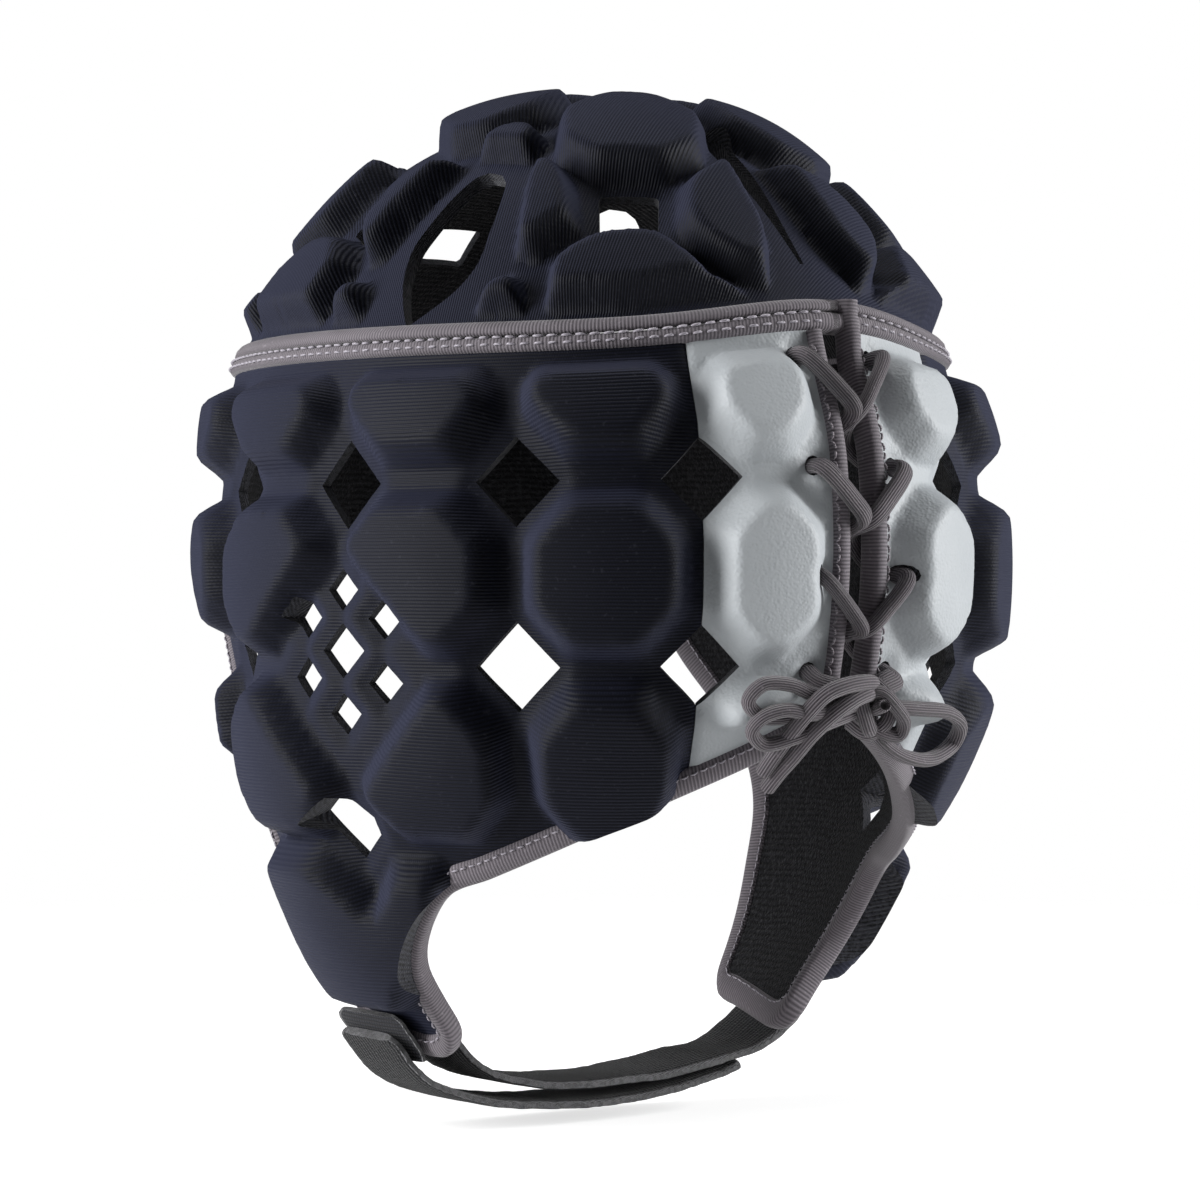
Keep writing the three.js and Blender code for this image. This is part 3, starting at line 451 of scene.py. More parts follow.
lacing = [tube(f"lacing_{'left' if s > 0 else 'right'}", flowing_path(on_wall(lace_strand(s)), 0.7),
               lace_thick * 1.25, lace_thick * 0.88, lace_knit) for s in (1, -1)]
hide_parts("lace")
loops = [tube(f"bow_loop_{i + 1}", flowing_path(on_wall(r), 0.7), lace_thick * 1.1, lace_thick * 0.88, lace_knit)
         for i, r in enumerate(bow_loops)]
knot = [tube(f"knot_turn_{i + 1}", flowing_path(on_wall(r), 0.5), lace_thick, lace_thick * 0.85, lace_knit,
             open_end=1.0) for i, r in enumerate(knot_turns + knot_nubs)]
for tied in lacing + loops + knot:
    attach(tied, "root")
tail_thick = lace_thick * 1.05
for i, route in enumerate(bow_tails):
    line = flowing_path(on_wall(route), 0.7)
    tail = tube(f"lace_tail_{i + 1}", line, tail_thick, tail_thick, lace_knit, open_end=2.2)
    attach(tail, "root")

# Crown: five petals of moulded foam pads under navy ribbed polyester, with a slot between petals and a square
# window in each, a closed dart at the back, and black brushed lining inside. Pressed flat, then sewn to shape.
crown_centre = 15.0                  # where the petals meet, toward the back, mm
pad_rise = 7.0
seam_tape = 3.1
piece_gap = 0.3
petal_ways = [36, 112, 180, -112, -36]
slot_ways = [(78, 0.54), (147, 0.54), (-147, 0.54), (-78, 0.54), (0, 0.31)]


def ring_reach(way):
    ring_x, ring_y = half_width * ring_share, half_length * ring_share
    dx, dy = np.sin(way) / ring_x, np.cos(way) / ring_y
    o = (crown_centre + ring_forward) / ring_y
    a, b, c = dx * dx + dy * dy, 2 * o * dy, o * o - 1
    return (-b + np.sqrt(b * b - 4 * a * c)) / (2 * a)


def flat_reach(way):
    return 108.2 - 23 * np.cos(way) + 6.8 * np.cos(2 * way)


def crown_plan(way, s):
    r = ring_reach(way) * (1.25 * s - 0.25 * s * s)
    x, y = r * np.sin(way), crown_centre + r * np.cos(way)
    return np.stack([x, y, crown_height(x, y)], -1)


def dome(x, y, off=0.0):
    """Points in mm in the frame for places on the crown laid flat around the petals' centre."""
    x, y, off = np.broadcast_arrays(*(np.asarray(v, float).ravel() for v in (x, y, off)))
    way, s = np.arctan2(x, y), np.minimum(np.hypot(x, y) / flat_reach(np.arctan2(x, y)), 0.998)
    p = crown_plan(way, s)
    t = np.maximum(s, 0.02)
    n = unit(np.cross(crown_plan(way, t) - crown_plan(way, t - 0.008),
                      crown_plan(way + 0.009, t) - crown_plan(way - 0.009, t)))
    e = 0.4
    gx = (crown_height(p[:, 0] + e, p[:, 1]) - crown_height(p[:, 0] - e, p[:, 1])) / (2 * e)
    gy = (crown_height(p[:, 0], p[:, 1] + e) - crown_height(p[:, 0], p[:, 1] - e)) / (2 * e)
    level = unit(np.stack([-gx, -gy, np.ones_like(gx)], -1))
    n = n * np.sign(np.sum(n * level, -1, keepdims=True))
    n = np.where((s < 0.1)[:, None], level, n)
    p = p + n * off[:, None]
    p[:, 2] -= head_seat
    return p


def octagon(cx, cy, w, h, cuts, turn=0.0):
    c = cuts if isinstance(cuts, list) else [cuts] * 4
    x, y = w / 2, h / 2
    o = np.array([(-x, -y + c[0]), (-x + c[0], -y), (x - c[1], -y), (x, -y + c[1]), (x, y - c[2]), (x - c[2], y),
                  (-x + c[3], y), (-x, y - c[3])])
    s, k = math.sin(math.radians(turn)), math.cos(math.radians(turn))
    return np.stack([cx + o[:, 0] * k + o[:, 1] * s, cy - o[:, 0] * s + o[:, 1] * k], -1)


def inside(points, polygon):
    x, y = points[:, 0], points[:, 1]
    within = np.zeros(len(points), bool)
    for (ax, ay), (bx, by) in zip(polygon, np.roll(polygon, -1, axis=0)):
        if ay == by:
            continue
        within ^= ((ay > y) != (by > y)) & (x < (bx - ax) * (y - ay) / (by - ay) + ax)
    return within


def inward(points, polygon, soften=0.8):
    """How deep points lie inside an outline, mm, its corners softened. Negative outside."""
    e = np.roll(polygon, -1, axis=0) - polygon
    reach = points[:, None] - polygon
    t = np.clip((reach * e).sum(-1) / (e * e).sum(-1), 0, 1)
    d = np.linalg.norm(reach - t[..., None] * e, axis=-1)
    low = d.min(1)
    if soften:
        low = low - soften * np.log(np.exp(-(d - low[:, None]) / soften).sum(1))
    return np.where(inside(points, polygon), low, -d.min(1))


def pads_relief(points, pads):
    """Height of moulded pads over the thin foam. A pad is (outline, height, width of its sloped side)."""
    rise = np.zeros(len(points))
    for outline, high, slope in pads:
        near = np.all((points > outline.min(0)) & (points < outline.max(0)), axis=1)
        if not near.any():
            continue
        d = np.maximum(inward(points[near], outline), 0)
        ramp = d * high / slope
        k = 0.17 * high
        h = np.clip(0.5 + 0.5 * (high - ramp) / k, 0, 1)
        shoulder = high * (1 - h) + ramp * h - k * h * (1 - h)
        shoulder += 0.45 * (1 - np.exp(-(d / 12) ** 2)) * np.minimum(d / slope, 1)
        rise[near] = np.maximum(rise[near], np.maximum(shoulder, 0))
    return rise


def pressed_rims(points, holes, deep=1.4, wide=2.2):
    """The foam is pressed thin where a hole is punched."""
    drop = np.zeros(len(points))
    for outline in holes:
        near = np.all((points > outline.min(0) - 5) & (points < outline.max(0) + 5), axis=1)
        if near.any():
            d = np.maximum(-inward(points[near], outline, 0), 0)
            drop[near] = np.maximum(drop[near], deep * np.exp(-(d / wide) ** 2))
    return drop


def moulded(points, pads, holes):
    """Pads over the thin foam, and the foam between them pressed thin round each hole."""
    rise = pads_relief(points, pads)
    return rise - pressed_rims(points, holes) * np.clip(1 - rise / pad_rise, 0.15, 1)


def stepped(polygon, spacing):
    """The outline with extra points along its straight runs."""
    out = []
    for a, b in zip(polygon, np.roll(polygon, -1, axis=0)):
        n = max(int(math.ceil(np.linalg.norm(b - a) / spacing)), 1)
        out += [a + (b - a) * k / n for k in range(n)]
    return np.array(out)


def drawn_outline(outline, by):
    """The outline moved inward by a length, or None where one of its sides would vanish."""
    ahead = np.roll(outline, -1, axis=0)
    e = ahead - outline
    turning = np.sign(np.sum(outline[:, 0] * ahead[:, 1] - ahead[:, 0] * outline[:, 1]))
    n = turning * np.stack([-e[:, 1], e[:, 0]], -1) / np.linalg.norm(e, axis=1)[:, None]
    moved = np.array([np.linalg.solve(np.array([n[k - 1], n[k]]), [n[k - 1] @ c + by, n[k] @ c + by])
                      for k, c in enumerate(outline)])
    return moved if (np.sum((np.roll(moved, -1, axis=0) - moved) * e, -1) > 0).all() else None


def apart_from(points, others, gap):
    """The points that lie at least a gap away from the others."""
    tree = KDTree(len(others))
    for k, (a, b) in enumerate(others):
        tree.insert((a, b, 0), k)
    tree.balance()
    return points[np.array([tree.find((a, b, 0))[2] > gap for a, b in points], bool)]


def foam_panel(name, outline, holes, spacing, place, relief, finishes, pads, thick=None):
    """A moulded panel: a fine net of triangles over the flat pattern with its holes left open, raised by relief
    outside, flat inside, with foam edges. The net follows the foot and the rim of each pad. Finishes are the outer
    cloth, the lining and the cut edge."""
    thick = wall_thick if thick is None else thick
    loops = [stepped(outline, spacing)] + [stepped(h, spacing * 0.75) for h in holes]
    rim = np.vstack(loops)
    edges, start = [], 0
    for loop in loops:
        n = len(loop)
        edges += [(start + k, start + (k + 1) % n) for k in range(n)]
        start += n
    low, high = rim.min(0), rim.max(0)
    row = spacing * math.sqrt(3) / 2
    ys = np.arange(low[1], high[1], row)
    grid = np.vstack([np.stack([np.arange(low[0], high[0], spacing) + (k % 2) * spacing / 2,
                                np.full(len(np.arange(low[0], high[0], spacing)), y)], -1) for k, y in enumerate(ys)])
    grid = grid[inside(grid, outline)]
    for h in holes:
        box = np.all((grid > h.min(0)) & (grid < h.max(0)), axis=1)
        keep = ~box
        keep[box] = ~inside(grid[box], h)
        grid = grid[keep]
    drawn = [drawn_outline(shape, by) for shape, _, slope in pads for by in (0.0, slope * 0.85, slope * 1.2)]
    folds = np.vstack([stepped(line, spacing) for line in drawn if line is not None])
    folds = folds[inside(folds, outline)]
    for h in holes:
        folds = folds[~inside(folds, h)]
    folds = apart_from(folds, rim, spacing * 0.6)
    fixed = np.vstack([rim, folds])
    grid = apart_from(grid, fixed, spacing * 0.62)
    flat, _, faces, *_ = delaunay_2d_cdt([Vector(p) for p in np.vstack([fixed, grid])], edges, [], 0, 1e-6)
    flat = np.array([(p.x, p.y) for p in flat])
    faces = np.array([f[:] for f in faces if len(f) == 3])
    middle = flat[faces].mean(1)
    keep = inside(middle, outline)
    for h in holes:
        box = np.all((middle > h.min(0)) & (middle < h.max(0)), axis=1)
        keep[box] &= ~inside(middle[box], h)
    faces = faces[keep]
    used = np.unique(faces)
    order = np.full(len(flat), -1)
    order[used] = np.arange(len(used))
    flat, faces = flat[used], order[faces]
    rise = relief(flat)
    pairs = np.vstack([faces[:, [0, 1]], faces[:, [1, 2]], faces[:, [2, 0]]])
    count = np.bincount(pairs.ravel(), minlength=len(flat))
    for _ in range(1):
        total = np.bincount(pairs[:, 0], rise[pairs[:, 1]], len(flat)) + np.bincount(pairs[:, 1], rise[pairs[:, 0]], len(flat))
        rise = 0.72 * rise + 0.28 * total / np.maximum(count, 1)
    outer, inner = place(flat[:, 0], flat[:, 1], rise), place(flat[:, 0], flat[:, 1], -thick)
    a, b, c = outer[faces[:, 0]], outer[faces[:, 1]], outer[faces[:, 2]]
    outward = (outer - inner)[faces[:, 0]]
    if np.median(np.sum(np.cross(b - a, c - a) * outward, -1)) < 0:
        faces = faces[:, ::-1]
        pairs = np.vstack([faces[:, [0, 1]], faces[:, [1, 2]], faces[:, [2, 0]]])
    known = set(map(tuple, pairs))
    border = [(p, q) for p, q in known if (q, p) not in known]
    n = len(flat)
    ring = sorted({p for e in border for p in e})
    mid_at = {p: 2 * n + k for k, p in enumerate(ring)}
    middle = 0.5 * (outer[ring] + inner[ring])
    sides = [[q, p, mid_at[p], mid_at[q]] for p, q in border] + [[mid_at[q], mid_at[p], p + n, q + n] for p, q in border]
    everything = faces.tolist() + (faces[:, ::-1] + n).tolist() + sides
    slots = [0] * len(faces) + [1] * len(faces) + [2] * len(sides)
    made = piece(name, np.vstack([outer, inner, middle]), everything, finishes, slots,
                 np.vstack([flat, flat, flat[ring] + [3, 3]]), sharp=50)
    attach(made, "root")
    return made


def petal(way, q):
    w = math.radians(way)
    return np.array([q * flat_reach(w) * math.sin(w), q * flat_reach(w) * math.cos(w)])


# Pads beside the middle of a petal, each corner as (degrees off the middle, share of the way to the seam).
long_pad = [(29, 0.52), (20, 0.515), (13, 0.6), (10, 0.73), (19, 0.815), (24, 0.8), (26, 0.71), (29, 0.57)]
long_pad_back = [(30, 0.49), (19, 0.54), (12, 0.6), (10, 0.73), (13, 0.81), (20, 0.9), (26, 0.93), (30, 0.79)]
broad_pad = [(-7, 0.735), (7, 0.735), (16, 0.82), (15, 0.955), (0, 0.955), (-15, 0.955), (-16, 0.82)]
broad_pad_back = [(-7, 0.735), (7, 0.735), (16, 0.82), (15, 0.955), (0, 0.955), (-23, 0.955), (-16, 0.87)]
corner_pad = [(23, 0.84), (19.5, 0.865), (18, 0.955), (28, 0.955), (29, 0.94), (27, 0.87)]
slot_pad = [(-7, 37), (7, 37), (12, 42), (11, 49.5), (-11, 49.5), (-12, 42)]
slot_half = [(0, 2.5), (0.03, 5), (0.16, 8), (0.4, 11.3), (0.56, 12.8), (0.74, 10.5), (0.9, 5.2), (1, 0.8)]
dart_half = [(0, 1.5), (0.12, 3.6), (0.4, 3.2), (0.7, 1.7), (1, 0.6)]
crown_pads, windows, slots_cut = [], [], []
for way in petal_ways:
    narrow = 1 if abs(way) == 36 else 0.78
    toward_dart = {36: -1, -36: 1}.get(way, 0)

    def on_petal(shape, k=1):
        return np.array([petal(way + k * d * narrow, q) for d, q in shape])
    reach_way = flat_reach(math.radians(way))
    crown_pads.append((octagon(*petal(way, 33 / reach_way), 38, 38, [13, 13, 9.5, 9.5], way), pad_rise, 3.8))
    for k in (-1, 1):
        crown_pads.append((on_petal(long_pad_back if k == toward_dart else long_pad, k), pad_rise, 3.6))
        if k != toward_dart:
            crown_pads.append((on_petal(corner_pad, k), pad_rise - 1, 3.2))
    crown_pads.append((on_petal(broad_pad_back if toward_dart else broad_pad, -toward_dart or 1), pad_rise, 3.8))
    windows.append(octagon(*petal(way, 61 / flat_reach(math.radians(36))), 15.5, 13, 0.8, way))
for way, first in slot_ways:
    half, last = (slot_half, 0.965) if way else (dart_half, 0.84)
    if way:
        reach_way = flat_reach(math.radians(way))
        crown_pads.append((np.array([petal(way + d, r / reach_way) for d, r in slot_pad]), pad_rise - 1, 2.9))
    w = math.radians(way)
    run_share = np.linspace(0, 1, 24)
    wide = flowing([f for f, _ in half], [h for _, h in half], run_share)
    lean = np.array([math.cos(w), -math.sin(w)])
    spine = [petal(way, first + (last - first) * f) for f in run_share]
    left = [c - lean * h for c, h in zip(spine, wide)]
    right = [c + lean * h for c, h in zip(spine, wide)]
    slots_cut.append(np.array(left + right[::-1]))

# Navy: painted shade between the ribs, painted highlight on them, and a paler painted sheen where the cloth is seen at
# a slant.
navy_crown = cloth_finish("navy ribbed polyester, crown", (0.0016, 0.0019, 0.004), (0.0052, 0.006, 0.0122), 0.74,
                          math.radians(-35), 0.11, 0.55, 0.0, waver=0.25, painted_sheen=(0.027, 0.0295, 0.05), shine=0.12)


def make_lining():
    """Black brushed lining: short soft pile lying every way, with faint rows."""
    return cloth_finish("black brushed lining", (0.0035, 0.0035, 0.0045), (0.0105, 0.0105, 0.013), 1.5, 0.0, 0.25, 0.95, 0.1,
                        waver=1.6, stitch=1.9, stitch_share=0.25, grain=2.4, lint=0.3)


lining = make_lining()
cut_foam = cloth_finish("cut foam edge", (0.003, 0.003, 0.004), (0.024, 0.025, 0.033), 1.1, 0.0, 0.2, 0.9, 0.15,
                        waver=1.2, stitch=0.7, stitch_share=0.5, grain=1.2, lint=0.45)
lip = (seam_tape + piece_gap * 2) / 95
round_ways = np.radians(np.arange(0, 360, 1.0))
crown_edge = np.stack([np.sin(round_ways), np.cos(round_ways)], -1) * (flat_reach(round_ways) * (1 - lip * 0.75))[:, None]
crown_holes = windows + slots_cut


def crown_relief(points):
    return moulded(points, crown_pads, windows)


crown = foam_panel("crown_cover", crown_edge, crown_holes, 1.15, dome, crown_relief, [navy_crown, lining, cut_foam],
                   crown_pads)
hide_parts("crown")

# Side panel: one moulded panel that runs right round the head and down both flaps, rows of octagonal pads in
# navy ribbed polyester over foam, diamond vents punched between them and a cluster of small ones over each ear.
binding_wide = 6.0
grey_edge = 37.0                     # where the grey back panel meets the navy, along the wall, mm
neck_line = np.array([(-85, 0), (-92, 12), (-100, 24.8), (-112, 45.3), (-119, 58), (-123, 66), (-131, 71.5),
                      (-142, 75.5), (-150, 75.5), (-157, 75), (-161, 77.5), (-162.5, 82)])
face_line = np.array([(-50, 140), (-56, 133), (-63, 128.5), (-72, 125), (-84, 118.5), (-96, 112.5), (-110, 109),
                      (-128, 108), (-146, 107.5), (-153, 107), (-157, 105), (-158.5, 101)])
slit_half, lace_tape = 3.1, 4.2
rim_points = [(slit_half, -85.0)] + [(float(length_at(t)), z) for z, t in neck_line[1:]]
rim_points += [(float(length_at(t)), z) for z, t in face_line[::-1]]
rim_run = flowing_path(np.array(rim_points), 1.5)
brow = np.stack([np.linspace(rim_run[-1][0], front, 45)[1:], np.full(44, -50.0)], -1)
rim_run = np.vstack([rim_run, brow])


def drawn_in(line, by, calm=3):
    """The line moved to its left by a length, its turns calmed so that tight corners stay clean."""
    run = np.gradient(line, axis=0)
    for _ in range(calm):
        run[1:-1] = (run[:-2] + run[1:-1] * 2 + run[2:]) / 4
    run = unit(run)
    return line + np.stack([-run[:, 1], run[:, 0]], -1) * by


under_binding = drawn_in(rim_run, binding_wide * 0.38)
joins = under_binding[:, 0] > grey_edge + 0.1
lower = under_binding[joins]
first_z = float(np.interp(grey_edge, under_binding[:60, 0], under_binding[:60, 1]))
half_lower = np.vstack([[grey_edge + 0.1, first_z], lower[:-1]])
panel_top = -seam_tape + 0.5
side_outline = np.vstack([
    [[grey_edge + 0.1, panel_top], [whole_round - grey_edge - 0.1, panel_top]],
    np.stack([whole_round - half_lower[:, 0], half_lower[:, 1]], -1),
    half_lower[::-1]])
columns = [(22.6, 26.5), (57.8, 37.5), (101.5, 42), (148.5, 43.5), (195.5, 41), (243.5, 44)]
rows = [(-17.2, 22.5), (-51.6, 37.5), (-92.2, 37.5)]
corner, ear_corner = 10.5, 23.0
slope_wide = 4.6
side_pads = []
for c, (u, w) in enumerate(columns):
    for r, (z, h) in enumerate(rows):
        if c == 0 or (r > 0 and c > 3):
            continue
        cuts = [corner] * 4
        if r == 0:
            cuts[2] = cuts[3] = 5
        if (r, c) in ((1, 2), (1, 3), (2, 2), (2, 3)):
            cuts[{(1, 2): 1, (1, 3): 0, (2, 2): 2, (2, 3): 3}[(r, c)]] = ear_corner
        side_pads.append((octagon(u, z, w, h, cuts), pad_rise, slope_wide))
flap_pads = [
    (octagon(190.5, -49.5, 31, 33, [9, 15, 9, 9]), pad_rise, slope_wide), (octagon(182, -84, 11, 24, 4.0), pad_rise, 4.2),
    (octagon(229, -39.5, 26, 11, 4.0), pad_rise, 4.2), (octagon(265, -39.5, 32, 11, 4.0), pad_rise, 4.2),
    (np.array([(101, -117), (106, -113.5), (118, -113.5), (124, -119), (126.6, -121.3), (141, -111), (166, -111),
               (170, -118), (168, -140), (164, -150), (128, -151), (112, -136), (103, -122.0)]), pad_rise, slope_wide)]
half_pads = side_pads + flap_pads
mirrored = [(np.stack([whole_round - o[:, 0], o[:, 1]], -1), high, slope) for o, high, slope in half_pads]
brow_pads = [(octagon(front, -17.2, 43, 22.5, [corner, corner, 5, 5]), pad_rise, slope_wide),
             (octagon(front, -39.5, 20, 11, 4.0), pad_rise, 4.2)]


def diamond(u, z, w, h):
    return np.array([(u - w, z), (u, z - h), (u + w, z), (u, z + h)], float)


crossings = [37, 78.5, 124.5, 172, 219.5]
vents = [diamond(u, z, *((9.1, 9.1) if u == crossings[0] else (10, 10)))
         for z, count in ((-31.3, 5), (-71.8, 2)) for u in crossings[:count]]
vents.append(diamond(172, -68, 7, 7))
ear = (126, -68.3)
ear_holes = [diamond(ear[0], ear[1], 6.9, 6.2)]
ear_holes += [diamond(ear[0] + a, ear[1] + b, 5, 4.7)
              for a, b in ((0, 13.6), (0, -14.2), (-13.2, 7.2), (-13, -7.2), (12.4, 7.4), (12.6, -6.2))]
low_hole = np.array([(131, -100), (139.5, -105.5), (129, -115.5), (121.8, -110), (122.5, -106.0)])
half_holes = [v for v in vents if v[:, 0].min() > grey_edge] + ear_holes + [low_hole]
side_holes = half_holes + [np.stack([whole_round - h[:, 0], h[:, 1]], -1) for h in half_holes]


def notched(outline, holes):
    """The outline with a bite where a vent crosses its edge at the seam between two panels."""
    for hole in holes:
        lo, hi = hole[:, 1].min(), hole[:, 1].max()
        cross = [k for k in range(len(outline)) if abs(outline[k][0] - outline[(k + 1) % len(outline)][0]) < 0.3
                 and min(outline[k][1], outline[(k + 1) % len(outline)][1]) < lo
                 and max(outline[k][1], outline[(k + 1) % len(outline)][1]) > hi
                 and hole[:, 0].min() < outline[k][0] < hole[:, 0].max()]
        for k in cross:
            edge_u = outline[k][0]
            within = hole[inside(hole, outline)]
            mid = hole[:, 0].mean()
            reach = (hi - lo) / 2 - abs(edge_u - mid) * (hi - lo) / (hole[:, 0].max() - hole[:, 0].min())
            centre = (hi + lo) / 2
            bite = [(edge_u, centre - reach), *map(tuple, within[np.argsort(within[:, 1])]), (edge_u, centre + reach)]
            if outline[k][1] > outline[(k + 1) % len(outline)][1]:
                bite = bite[::-1]
            outline = np.vstack([outline[:k + 1], np.array(bite), outline[k + 1:]])
    return outline


seam_vents = [v for v in vents if v[:, 0].min() < grey_edge]
far_vents = [np.stack([whole_round - v[:, 0], v[:, 1]], -1) for v in seam_vents]
side_outline = notched(side_outline, seam_vents + far_vents)
seam_us = (grey_edge, whole_round - grey_edge)


def side_relief(points):
    rise = moulded(points, half_pads + mirrored + brow_pads, side_holes + seam_vents + far_vents)
    for u in seam_us:
        rise -= 0.8 * np.exp(-((points[:, 0] - u) / 0.9) ** 2)
    return rise


# Navy: painted shade between the ribs, painted highlight on them, and a paler painted sheen where the cloth is seen at
# a slant.
navy_side = cloth_finish("navy ribbed polyester, sides", (0.0016, 0.0019, 0.004), (0.0052, 0.006, 0.0122), 0.74, 0.0,
                         0.11, 0.55, 0.0, waver=0.3, painted_sheen=(0.027, 0.0295, 0.05), shine=0.12)
side = foam_panel("side_cover", side_outline, side_holes, 1.35, wall, side_relief, [navy_side, lining, cut_foam],
                  half_pads + mirrored + brow_pads)
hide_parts("side_panel")

# Back panels: two light grey panels along the lacing, a matte coated synthetic moulded over the same foam, each
# with two pads and a small one, four eyelets for the lace, sewn edge to edge to the navy panel.
eyelet_radius = 2.1


def coated_finish(name, base, pale):
    """Matte coated synthetic: fine pebble grain, soft sheen and faint cloudiness."""
    finish = bpy.data.materials.new(name)
    finish.use_nodes = True
    tree = finish.node_tree
    shader = tree.nodes["Principled BSDF"]
    spot = tree.nodes.new("ShaderNodeTexCoord")
    wear = tree.nodes.new("ShaderNodeGroup")
    wear.node_tree = wear_group
    wear.inputs["Cloud scale"].default_value = 35
    wear.inputs["Lint share"].default_value = 0.02
    link(tree, spot.outputs["Object"], wear.inputs["Place"])
    link(tree, blended(tree, wear.outputs["Drift"], base, pale), shader.inputs["Base Color"])
    link(tree, sums(tree, "MULTIPLY_ADD", wear.outputs["Drift"], 0.2, 0.42), shader.inputs["Roughness"])
    shader.inputs["Specular IOR Level"].default_value = 0.4
    pebble = tree.nodes.new("ShaderNodeTexVoronoi")
    pebble.inputs["Scale"].default_value = 1500
    pebble.feature = "SMOOTH_F1"
    link(tree, spot.outputs["Object"], pebble.inputs["Vector"])
    crease = tree.nodes.new("ShaderNodeTexNoise")
    crease.inputs["Scale"].default_value = 320
    crease.inputs["Detail"].default_value = 3
    link(tree, spot.outputs["Object"], crease.inputs["Vector"])
    bump = tree.nodes.new("ShaderNodeBump")
    bump.inputs["Distance"].default_value = 0.11 * MM
    bump.inputs["Strength"].default_value = 1.0
    link(tree, sums(tree, "MULTIPLY_ADD", crease.outputs["Fac"], 0.8, pebble.outputs["Distance"]), bump.inputs["Height"])
    link(tree, bump.outputs[0], shader.inputs["Normal"])
    return finish


grey_coated = coated_finish("grey coated synthetic", (0.36, 0.385, 0.405), (0.46, 0.485, 0.505))
grey_edge_line = drawn_in(rim_run, binding_wide * 0.38)
grey_lower = grey_edge_line[(grey_edge_line[:, 0] > slit_half + 1.6) & (grey_edge_line[:, 0] < grey_edge - 0.1)
                            & (np.arange(len(grey_edge_line)) < 60)]
grey_outline = np.vstack([[[slit_half + 1.5, panel_top]], [[slit_half + 1.5, grey_lower[0][1]]], grey_lower,
                          [[grey_edge - 0.1, first_z]], [[grey_edge - 0.1, panel_top]]])
grey_outline = notched(grey_outline, seam_vents)
grey_pads = [(octagon(22.6, -17.2, 26.5, 23, [8, 8, 5, 5]), pad_rise, 4.8), (octagon(22.6, -51.6, 26.5, 38, 9.0), pad_rise, 4.8),
             (np.array([(12, -76), (18, -73.5), (28, -73.5), (33.5, -78), (33.5, -84), (29, -86), (18, -81.5), (12.5, -79.0)]),
              pad_rise - 0.5, 3.8)]
turns = np.radians(np.arange(0, 360, 30))
eyelets = [np.stack([eyelet_out + eyelet_radius * np.cos(turns), z + eyelet_radius * np.sin(turns)], -1)
           for z in eyelet_heights]


def turned(shape, sign):
    return shape if sign > 0 else np.stack([-shape[:, 0], shape[:, 1]], -1)[::-1]


for sign, hand in ((1, "left"), (-1, "right")):
    pads = [(turned(o, sign), high, slope) for o, high, slope in grey_pads]
    punched = [turned(h, sign) for h in eyelets]
    beside = [turned(v, sign) for v in seam_vents]

    def grey_relief(points, pads=pads, punched=punched, beside=beside, sign=sign):
        rise = moulded(points, pads, beside) - pressed_rims(points, punched, 0.9, 1.4)
        rise -= 0.8 * np.exp(-((points[:, 0] - sign * grey_edge) / 0.9) ** 2)
        return rise
    panel = foam_panel(f"grey_panel_{hand}", turned(grey_outline, sign), punched, 0.9, wall, grey_relief,
                       [grey_coated, lining, cut_foam], pads)
    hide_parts(f"back_panel_{hand}")

# Tapes: ribbed mauve grey elastic, one strip folded over each panel edge. Two lie side by side over the crown
# seam, one runs down each side of the slit, and all are held by a row of pale lockstitches near the fold.
mauve_tape = cloth_finish("mauve ribbed tape", (0.085, 0.075, 0.086), (0.185, 0.165, 0.185), 0.8, math.radians(90), 0.09,
                          0.7, 0.3, waver=0.12, stitch=0.5, stitch_share=0.2, grain=0.2)


def folded_tape(name, inner, outer, place, low, high, finish, closed=False, belly=0.5):
    """A strip folded over an edge: its outline across is rounded, fuller in the middle, and it runs along both
    lines, which give its two edges place by place."""
    inner, outer = np.asarray(inner, float), np.asarray(outer, float)
    around_strip = 16
    t = np.arange(around_strip) * 2 * np.pi / around_strip
    across = 0.5 - 0.5 * np.sign(np.cos(t)) * np.abs(np.cos(t)) ** 0.6
    lift = np.sign(np.sin(t)) * np.abs(np.sin(t)) ** 0.55
    points, flat = [], []
    n = len(inner)
    centre = place(*((inner + outer) / 2).T, 0)
    far = np.concatenate([[0], np.cumsum(np.linalg.norm(np.diff(centre, axis=0), axis=1))])
    for a, l in zip(across, lift):
        line = inner + (outer - inner) * a
        off = (high + belly * (1 - (2 * a - 1) ** 2)) * max(l, 0) + (low - belly * 0.4) * max(-l, 0) + (low + high) / 2 * (1 - abs(l))
        points.append(place(line[:, 0], line[:, 1], off))
    wide = float(np.linalg.norm(points[0][0] - points[around_strip // 2][0]))
    points = np.stack(points, 1).reshape(-1, 3)
    flat = np.stack(np.broadcast_arrays(far[:, None], (across * wide)[None, :]), -1).reshape(-1, 2)
    faces = []
    for i in range(n if closed else n - 1):
        j = (i + 1) % n
        for k in range(around_strip):
            m = (k + 1) % around_strip
            faces.append([i * around_strip + k, i * around_strip + m, j * around_strip + m, j * around_strip + k])
    if not closed:
        faces += [list(range(around_strip))[::-1], [(n - 1) * around_strip + k for k in range(around_strip)]]
    made = piece(name, points, faces, [finish], flat=flat, sharp=60)
    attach(made, "root")
    return made


